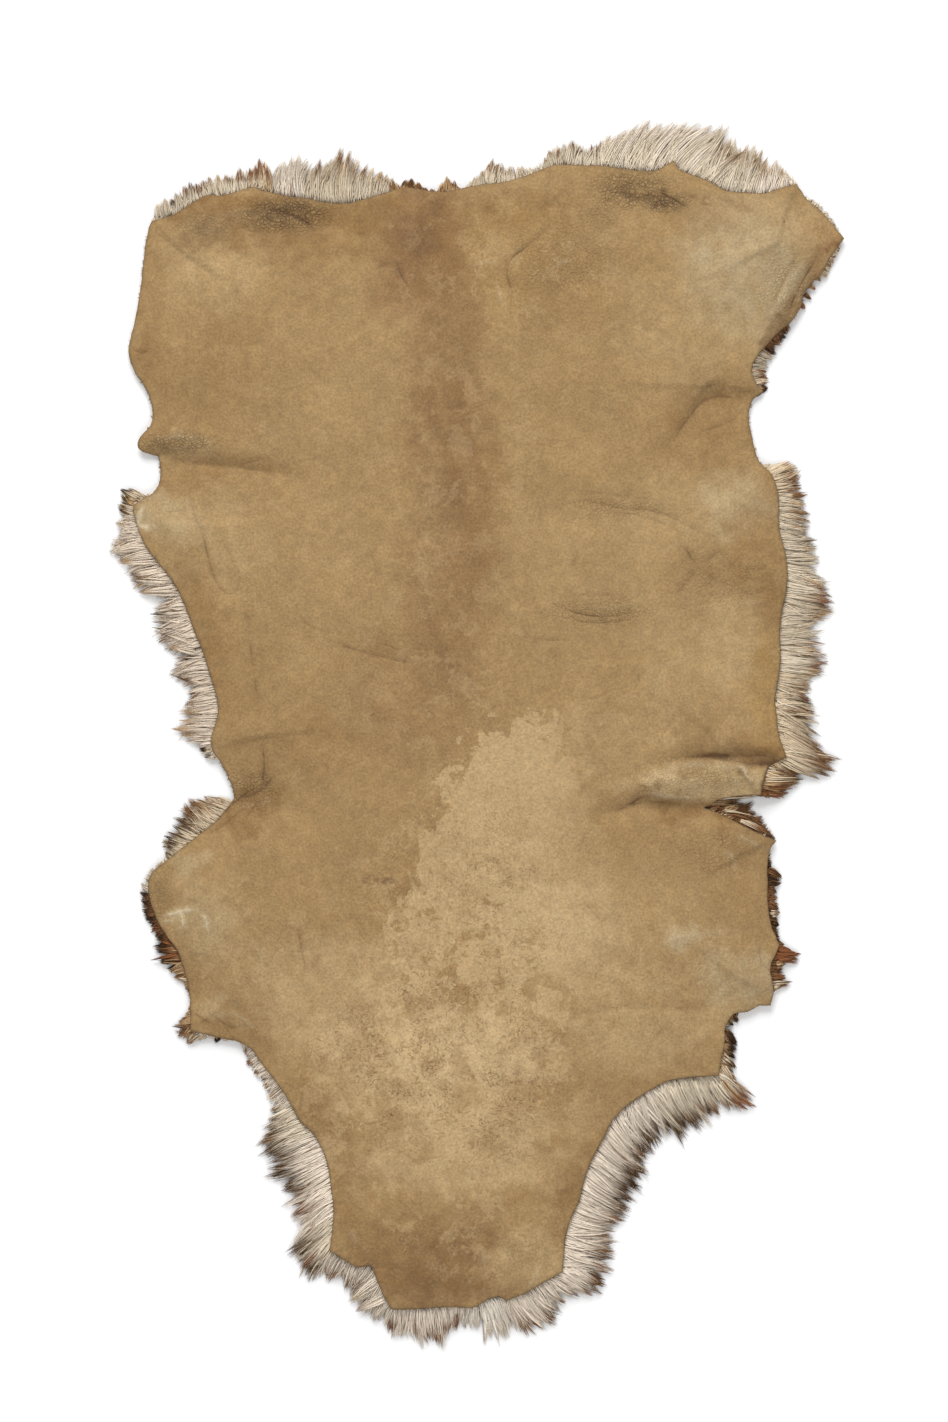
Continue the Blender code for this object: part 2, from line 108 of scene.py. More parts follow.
RUMP_RIGHT = (
    (475, 185, CURVE, 1, -10),
    (492, 183, CURVE, 1, -27),
    (506, 181, CURVE, -2, -17),
    (520, 177, CURVE, 0, -14),
    (534, 172, CURVE, 0, -3),
    (552, 165, CURVE, -2, -18),
    (568, 164, CURVE, 1, -26),
    (583, 165, CURVE, 3, -19),
    (600, 165, CURVE, -1, -24),
    (614, 167, CURVE, 0, -37),
    (640, 170, CURVE, 0, -47),
    (656, 170, CURVE, -5, -42),
    (674, 160, CORNER, 1, -40),
    (680, 169, CURVE, 11, -46),
    (694, 175, CURVE, 16, -52),
    (710, 181, CURVE, 16, -48),
    (726, 190, CURVE, 16, -48),
    (745, 192, CURVE, 13, -46),
    (760, 193, CURVE, 6, -28),
    (768, 192, CURVE, 8, -32),
    (782, 187, CURVE, 4, -20),
    (797, 183, CORNER, 0, 0),
)
RIGHT_HIND_CORNER = (
    (808, 199, CURVE, 2, -2),
    (822, 211, CURVE, 5, -4),
    (845, 238, CORNER, 0, 0),
    (832, 255, CURVE, 5, 3),
    (823, 272, CURVE, 5, 5),
    (815, 280, CURVE, 0, 0),
    (804, 294, CURVE, 0, 0),
    (802, 305, CURVE, 0, 0),
    (792, 321, CURVE, 0, 0),
    (779, 332, CURVE, 8, 7),
    (766, 346, CURVE, 10, 8),
    (755, 360, CURVE, 15, 4),
    (752, 371, CURVE, 17, 3),
    (756, 382, CURVE, 17, 0),
    (764, 391, CORNER, 0, 0),
    (753, 400, CURVE, 0, 0),
)
RIGHT_FLANK = (
    (749, 414, CURVE, 0, 0),
    (752, 434, CURVE, 0, 0),
    (759, 460, CURVE, 0, 0),
    (771, 473, CURVE, 30, -6),
    (778, 491, CURVE, 28, -2),
    (779, 510, CURVE, 31, 3),
    (780, 532, CURVE, 32, -1),
    (785, 550, CURVE, 34, 0),
    (788, 574, CURVE, 35, 0),
    (786, 594, CURVE, 46, 4),
    (783, 607, CURVE, 47, 2),
    (780, 633, CURVE, 38, 2),
    (781, 655, CURVE, 46, 0),
    (780, 668, CURVE, 46, -1),
    (777, 688, CURVE, 34, 2),
    (775, 701, CURVE, 38, 7),
    (777, 716, CURVE, 44, 10),
    (779, 734, CURVE, 50, 18),
    (787, 757, CORNER, 50, 16),
)
RIGHT_PLEAT = (
    (780, 761, CURVE, 22, 10),
    (768, 767, CORNER, 33, 14),
    (764, 781, CURVE, 36, 5),
    (761, 795, CORNER, 22, -2),
    (744, 796, CURVE, 0, 0),
    (722, 799, CURVE, 0, 0),
    (705, 808, CORNER, 0, 0),
    (720, 814, CURVE, 26, -12),
    (736, 822, CURVE, 23, -9),
    (752, 830, CURVE, 17, -6),
    (766, 836, CURVE, 6, -3),
    (777, 841, CORNER, 0, 0),
)
RIGHT_FORE = (
    (771, 849, CURVE, 0, 0),
    (768, 866, CURVE, 6, 3),
    (768, 880, CURVE, 15, 0),
    (768, 894, CURVE, 8, -2),
    (769, 909, CURVE, 13, 2),
    (772, 926, CURVE, 6, 3),
    (780, 945, CORNER, 5, 2),
    (776, 955, CURVE, 26, 3),
    (771, 966, CURVE, 12, 2),
    (772, 979, CURVE, 18, 4),
    (774, 992, CURVE, 0, 0),
    (771, 1006, CORNER, 0, 0),
    (760, 1006, CORNER, 0, 0),
    (748, 1012, CURVE, 0, 0),
    (734, 1015, CURVE, 2, 3),
    (726, 1027, CURVE, 9, 3),
    (725, 1043, CURVE, 12, 4),
    (721, 1063, CURVE, 14, 7),
    (719, 1076, CORNER, 35, 30),
)
NECK_RIGHT = (
    (704, 1077, CURVE, 30, 33),
    (688, 1078, CURVE, 20, 42),
    (670, 1081, CURVE, 20, 52),
    (655, 1088, CURVE, 20, 52),
    (640, 1097, CURVE, 18, 50),
    (625, 1108, CURVE, 24, 50),
    (612, 1122, CURVE, 24, 51),
    (604, 1138, CURVE, 34, 47),
    (595, 1154, CURVE, 44, 38),
    (588, 1170, CURVE, 42, 34),
    (583, 1186, CURVE, 42, 29),
    (579, 1202, CURVE, 38, 22),
    (572, 1217, CURVE, 44, 16),
    (566, 1235, CURVE, 48, 11),
    (564, 1254, CURVE, 52, 9),
)
NECK_END = (
    (563, 1272, CORNER, 42, 24),
    (551, 1279, CURVE, 30, 19),
    (540, 1285, CURVE, 28, 26),
    (527, 1293, CURVE, 34, 29),
    (515, 1298, CURVE, 28, 34),
    (507, 1301, CORNER, 12, 35),
    (498, 1297, CURVE, 3, 46),
    (486, 1301, CURVE, -2, 44),
    (474, 1308, CURVE, -2, 23),
    (456, 1308, CURVE, 0, 21),
    (440, 1308, CURVE, 5, 38),
    (425, 1309, CURVE, 1, 42),
    (409, 1310, CURVE, -1, 33),
    (392, 1310, CORNER, -3, 21),
    (384, 1297, CURVE, -14, 26),
    (377, 1280, CURVE, -21, 29),
    (371, 1266, CORNER, -25, 31),
    (356, 1268, CORNER, -10, 22),
    (345, 1261, CURVE, -9, 22),
    (329, 1251, CORNER, -12, 28),
)
NECK_LEFT = (
    (331, 1238, CURVE, -28, 37),
    (333, 1223, CURVE, -42, 32),
    (333, 1206, CURVE, -38, 24),
    (331, 1188, CURVE, -40, 25),
    (328, 1168, CURVE, -45, 20),
    (322, 1149, CURVE, -50, 28),
    (312, 1133, CURVE, -50, 17),
    (300, 1122, CURVE, -41, 20),
    (293, 1109, CURVE, -24, 14),
    (284, 1094, CURVE, -14, 11),
    (273, 1079, CURVE, -11, 9),
    (262, 1065, CURVE, -12, 9),
    (252, 1051, CURVE, -6, 10),
    (240, 1043, CURVE, 0, 0),
)
LEFT_FORE = (
    (222, 1039, CURVE, 0, 3),
    (205, 1035, CURVE, -4, 6),
    (190, 1031, CORNER, -6, 13),
    (190, 1021, CURVE, -18, 8),
    (190, 1009, CURVE, 0, 0),
    (188, 988, CURVE, -3, 1),
    (183, 968, CURVE, -13, 7),
    (177, 951, CURVE, -26, 10),
    (169, 940, CURVE, -10, 5),
    (157, 921, CURVE, -11, 4),
    (149, 898, CURVE, -9, 1),
    (148, 882, CURVE, -6, -3),
    (153, 871, CURVE, -2, -2),
    (166, 861, CURVE, -3, -3),
    (178, 851, CURVE, -13, -7),
    (191, 841, CURVE, -27, -6),
    (205, 830, CURVE, -28, -14),
    (217, 820, CURVE, -31, -18),
    (226, 809, CURVE, -33, -8),
    (234, 799, CORNER, 0, 0),
)
LEFT_FLANK = (
    (231, 785, CURVE, 0, 0),
    (221, 764, CURVE, 0, 0),
    (212, 750, CURVE, -9, 3),
    (211, 738, CURVE, -22, 4),
    (214, 727, CURVE, -40, 3),
    (218, 711, CURVE, -38, 1),
    (216, 696, CURVE, -32, 6),
    (212, 682, CURVE, -25, 4),
    (207, 666, CURVE, -37, 7),
    (202, 650, CURVE, -27, 8),
    (196, 636, CURVE, -38, 4),
    (191, 623, CURVE, -40, 6),
    (186, 609, CURVE, -34, 5),
    (180, 595, CURVE, -17, 6),
    (171, 579, CURVE, -36, 5),
    (159, 564, CURVE, -33, 8),
    (148, 550, CURVE, -42, 3),
    (140, 535, CURVE, -24, 0),
    (135, 519, CURVE, -20, 4),
    (133, 507, CURVE, -15, -6),
    (143, 498, CURVE, -21, -9),
    (151, 494, CURVE, 0, 0),
)
LEFT_TONGUE = (
    (158, 484, CURVE, 0, 0),
    (160, 468, CURVE, 0, 0),
    (158, 456, CORNER, 0, 0),
    (142, 451, CURVE, 0, 0),
    (137, 445, CURVE, 0, 0),
    (141, 435, CURVE, 0, 0),
    (150, 425, CURVE, 0, 0),
    (152, 410, CURVE, 0, 0),
    (146, 390, CURVE, 0, 0),
    (133, 369, CURVE, 0, 0),
    (128, 348, CURVE, 0, 0),
    (134, 322, CURVE, 0, 0),
    (140, 288, CURVE, 0, 0),
    (144, 250, CURVE, 0, 0),
)
CUT_EDGE = (LEFT_HIND_CORNER + RUMP_LEFT + RUMP_RIGHT + RIGHT_HIND_CORNER + RIGHT_FLANK + RIGHT_PLEAT
            + RIGHT_FORE
            + NECK_RIGHT + NECK_END + NECK_LEFT + LEFT_FORE + LEFT_FLANK + LEFT_TONGUE)

# Each row is one fold of the leather: (its line over the pattern grid, rise, half width).
# A rise above nought is a ridge, one below is a trough.
FOLDS = (
    (((622, 797), (662, 779), (712, 777), (763, 780)), 7.5, 17),       # right pleat, its crest
    (((650, 766), (700, 757), (738, 758), (772, 767)), -5.5, 9),       # right pleat, crease above it
    (((598, 817), (640, 803), (680, 806), (708, 812)), -5, 9),       # right pleat, crease below it
    (((141, 441), (175, 443), (215, 446)), 4.5, 13),                   # left tongue
    (((158, 459), (200, 463), (240, 469), (292, 477)), -5, 10),      # left crease under the tongue
    (((752, 403), (715, 395), (688, 425), (668, 452)), -4.5, 14),      # right hind fold
    (((818, 252), (796, 282), (774, 315), (757, 352)), 3.5, 15),       # right hind rolled edge
    (((200, 520), (213, 572), (234, 598), (248, 645), (260, 700)), -3, 14),  # left flank valley
    (((236, 801), (262, 788), (276, 762)), -4.5, 11),                  # left notch crease
    (((556, 505), (622, 508), (690, 528), (724, 540)), -2.6, 14),      # right flank wrinkle
    (((398, 205), (414, 262), (408, 300)), -2.6, 18),                  # spine hollow at the rump
    (((505, 300), (510, 262), (545, 240)), -2.2, 12),                  # short crease on the rump
    (((455, 1200), (448, 1250), (452, 1302)), -2.6, 20),               # neck hollow
    (((545, 1200), (520, 1245), (512, 1290)), 2.6, 18),                # neck ridge
    (((330, 640), (376, 655), (420, 668)), -2, 14),                  # soft wrinkle left of the middle
)

# Each row is a slow wave of the whole sheet: (length, bearing in degrees, shift in degrees, share of SWELL)
WAVES = (
    (330.0, 20.0, 40.0, 0.42),
    (210.0, 105.0, 200.0, 0.33),
    (145.0, 63.0, 300.0, 0.25),
)
# The same for the hollows in the coat's underside
HOLLOWS = (
    (96.0, 15.0, 10.0, 0.5),
    (78.0, 74.0, 130.0, 0.4),
    (60.0, 132.0, 250.0, 0.3),
)


# Paints of the leather and of the hair, as sRGB hex.
PAINTS = {
    "tan": "#997C53",
    "light": "#AD9268",
    "pale": "#AD9A78",
    "scuff_and_highlight": "#CFC2A4",
    "straw": "#BFA47A",
    "brown": "#85663E",
    "ochre": "#987642",
    "spine": "#7E5F3D",
    "umber": "#5F452C",
    "red": "#775131",
    "edge": "#553E25",
    "cream": "#F0E1CE",
    "white": "#F1E6D6",
    "pink": "#E6D5C0",
    "grey": "#D9CBB8",
    "beige": "#DBC7A9",
    "milk": "#E2D3BB",
    "oat": "#D6C6AD",
    "sand": "#BF9D74",
    "auburn": "#8F5A38",
    "hazel": "#8A6240",
    "dark": "#64482B",
    "black": "#3F2C1C",
}

# Each row is one fine crease of the leather's face: (its line, rise, half width, painted shade in it). Below
# nought that column paints pale instead: painted highlights along ridges, and in a few rows pale scuffs.
CREASES = (
    (((644, 768), (672, 760), (700, 757), (722, 756), (738, 758)), -0.7, 2.2, 0.3),
    (((690, 757), (712, 756), (734, 758), (750, 761), (762, 763), (774, 764), (786, 763), (810, 758)),
     -1.6, 2.4, 1.7),
    (((720, 752), (740, 754), (764, 758), (786, 757)), -1.3, 6, 0.45),
    (((655, 771), (690, 765), (726, 766), (762, 773)), 1.1, 4, -0.32),
    (((738, 764), (745, 769), (744, 777), (737, 780)), 0.5, 1.6, -0.35),
    (((640, 797), (648, 794), (668, 797), (690, 798), (704, 805)), 0.9, 1.6, -0.6),
    (((598, 818), (618, 810), (640, 803), (662, 802), (682, 805), (706, 811)), -0.9, 2, 0.26),
    (((624, 808), (638, 799), (652, 793)), -0.5, 1.8, 0.4),
    (((596, 826), (586, 834), (580, 848)), -0.4, 2, 0.25),
    (((767, 768), (764, 782), (761, 794)), -0.6, 1.7, 0.6),
    (((740, 764), (748, 777), (752, 791)), 0.5, 1.8, -0.35),
    (((722, 763), (735, 779), (742, 792)), 0.5, 1.8, -0.3),
    (((752, 768), (757, 780), (757, 793)), 0.4, 1.6, -0.35),
    (((735, 835), (748, 840), (762, 849)), 0.5, 1.8, -0.35),
    (((722, 850), (733, 858), (736, 872)), 0.4, 1.8, -0.3),
    (((715, 822), (722, 838), (722, 850)), -0.4, 1.8, 0.25),
    (((158, 457), (182, 461), (210, 465), (240, 468), (268, 472), (292, 477)), -0.8, 2, 0.16),
    (((232, 466), (250, 462), (272, 456)), -0.5, 2.2, 0.25),
    (((141, 452), (158, 455), (178, 452), (205, 446), (234, 447)), -0.5, 1.9, 0.04),
    (((150, 440), (176, 437), (205, 438)), 0.5, 2.6, -0.25),
    (((752, 403), (736, 398), (718, 396), (702, 402), (688, 418), (676, 436), (668, 452)), -0.9, 3, 0.35),
    (((746, 413), (724, 424), (702, 432), (690, 446)), -0.5, 2.2, 0.25),
    (((734, 384), (716, 384), (700, 388)), -0.5, 2.4, 0.25),
    (((720, 372), (704, 383), (692, 399)), 0.4, 2.6, -0.15),
    (((560, 504), (590, 502), (622, 509), (650, 511), (676, 520), (698, 532), (712, 537), (726, 537)),
     -0.7, 1.5, 0.22),
    (((596, 510), (640, 516), (668, 526), (690, 538)), -0.4, 1.5, 0.2),
    (((575, 497), (600, 494), (630, 498)), -0.3, 1.4, 0.18),
    (((545, 600), (560, 607), (585, 615), (612, 616), (642, 611)), -0.7, 1.5, 0.35),
    (((560, 617), (585, 622), (612, 622), (638, 617)), -0.5, 1.5, 0.3),
    (((572, 597), (600, 595), (620, 599)), -0.4, 1.4, 0.2),
    (((590, 606), (612, 608), (634, 604)), 0.4, 1.5, -0.15),
    (((520, 636), (545, 640), (578, 640)), -0.4, 1.4, 0.2),
    (((584, 700), (598, 697), (612, 690)), -0.4, 1.4, 0.2),
    (((584, 690), (600, 686), (612, 680)), -0.3, 1.4, 0.15),
    (((699, 566), (690, 556), (684, 544)), -0.6, 2, 0.3),
    (((700, 566), (712, 557), (725, 546)), -0.6, 2, 0.3),
    (((699, 568), (688, 580), (676, 596)), -0.5, 2, 0.25),
    (((702, 568), (716, 580), (736, 586)), -0.5, 2, 0.25),
    (((740, 592), (752, 594), (766, 590)), -0.4, 1.6, 0.25),
    (((736, 600), (750, 604), (768, 600)), 0.4, 1.8, -0.2),
    (((742, 566), (756, 570), (770, 566)), -0.4, 1.6, 0.22),
    (((200, 520), (206, 548), (213, 575), (222, 590), (231, 594), (238, 588), (239, 576)), -0.6, 1.7, 0.32),
    (((190, 500), (196, 520), (204, 536)), -0.4, 1.6, 0.2),
    (((222, 540), (232, 560), (240, 582)), -0.3, 1.6, 0.18),
    (((240, 592), (246, 620), (250, 645), (256, 690), (262, 738)), -0.6, 1.9, 0.25),
    (((247, 588), (256, 630), (262, 665)), -0.3, 1.6, 0.15),
    (((262, 742), (264, 764), (262, 788)), -0.8, 2.2, 0.4),
    (((236, 801), (249, 796), (262, 789), (274, 776)), -0.9, 2.4, 0.5),
    (((240, 806), (256, 806), (274, 798)), 0.5, 2.4, -0.2),
    (((214, 820), (228, 808), (244, 795), (258, 786)), -0.6, 1.8, 0.45),
    (((204, 838), (222, 826), (240, 812), (256, 806)), -0.4, 1.6, 0.28),
    (((192, 1012), (204, 1020), (214, 1026)), -0.4, 1.5, 0.3),
    (((204, 1008), (218, 1020), (232, 1028), (246, 1030)), -0.5, 1.6, 0.35),
    (((232, 1012), (244, 1020), (254, 1030)), 0.3, 1.5, -0.3),
    (((296, 924), (300, 940), (304, 962), (306, 978)), -0.5, 1.7, 0.3),
    (((248, 938), (258, 950), (262, 964), (252, 974)), 0.3, 1.6, -0.28),
    (((262, 800), (250, 812), (240, 828)), -0.4, 2, 0.22),
    (((325, 640), (350, 648), (375, 655), (400, 661), (421, 665)), -0.6, 1.6, 0.3),
    (((296, 618), (318, 630), (340, 636)), -0.4, 1.5, 0.18),
    (((360, 640), (384, 645), (402, 652)), -0.3, 1.4, 0.15),
    (((397, 262), (402, 277), (412, 290)), -0.8, 1.9, 0.42),
    (((380, 268), (395, 263), (410, 266)), -0.4, 1.5, 0.25),
    (((548, 226), (530, 244), (511, 259), (507, 275), (512, 292), (510, 306)), -0.7, 1.7, 0.35),
    (((470, 268), (488, 262), (504, 265)), 0.4, 1.6, -0.25),
    (((497, 281), (500, 296), (508, 312)), 0.3, 1.4, -0.3),
    (((556, 268), (562, 262), (572, 262)), 0.3, 1.4, -0.35),
    (((812, 250), (799, 269), (787, 291), (777, 313)), 0.6, 2, -0.3),
    (((820, 254), (808, 272), (797, 292), (786, 316)), -0.7, 2, 0.4),
    (((804, 244), (790, 268), (779, 291), (769, 316)), -0.5, 1.9, 0.25),
    (((795, 270), (781, 296), (768, 322), (758, 346)), 0.4, 1.8, -0.22),
    (((796, 214), (782, 222), (760, 226)), -0.3, 2, 0.12),
    (((750, 402), (762, 420), (766, 446)), 0, 1.6, 0.25),
    (((159, 917), (172, 914), (182, 911), (198, 909)), 0.3, 1.5, -1.1),
    (((160, 922), (170, 921), (178, 922)), 0.3, 1.3, -0.6),
    (((178, 910), (182, 918), (183, 928)), 0.3, 1.6, -1.1),
    (((200, 912), (206, 920), (207, 932)), 0.3, 1.4, -0.8),
    (((154, 924), (156, 940), (163, 952)), 0.3, 1.5, -0.35),
    (((662, 944), (678, 937), (704, 934)), 0.4, 2, -0.35),
    (((668, 948), (684, 942), (696, 944)), 0.3, 1.5, -0.25),
    (((541, 1261), (536, 1276), (527, 1290)), 0.4, 1.5, -0.4),
    (((480, 1240), (484, 1262), (488, 1290)), 0.2, 1.6, -0.2),
    (((349, 1230), (354, 1236), (358, 1246)), 0.3, 1.8, -0.25),
    (((555, 1020), (590, 1013), (630, 1008), (672, 1010), (700, 1012)), -0.5, 2.4, 0.15),
    (((690, 1010), (715, 1004), (738, 990)), -0.5, 2.4, 0.16),
    (((690, 1060), (702, 1046), (712, 1030)), -0.3, 1.8, 0.12),
    (((704, 1056), (700, 1066), (706, 1074)), -0.4, 1.8, 0.25),
    (((770, 930), (760, 950), (764, 975)), -0.4, 2, 0.2),
    (((160, 300), (156, 340), (164, 372)), -0.4, 2.6, 0.1),
    (((133, 348), (140, 352), (150, 350)), -0.3, 1.5, 0.3),
    (((600, 350), (620, 330), (636, 316)), -0.2, 1.6, 0.1),
    (((530, 212), (548, 205), (566, 203)), -0.4, 1.8, 0.15),
    (((240, 232), (256, 222), (272, 218)), -0.5, 1.8, 0.3),
    (((262, 210), (284, 212), (306, 222), (318, 232)), -0.6, 2.2, 0.45),
    (((654, 190), (668, 196), (682, 204), (692, 210)), -0.7, 2, 0.5),
    (((690, 196), (702, 203), (712, 206)), -0.4, 1.8, 0.3),
)

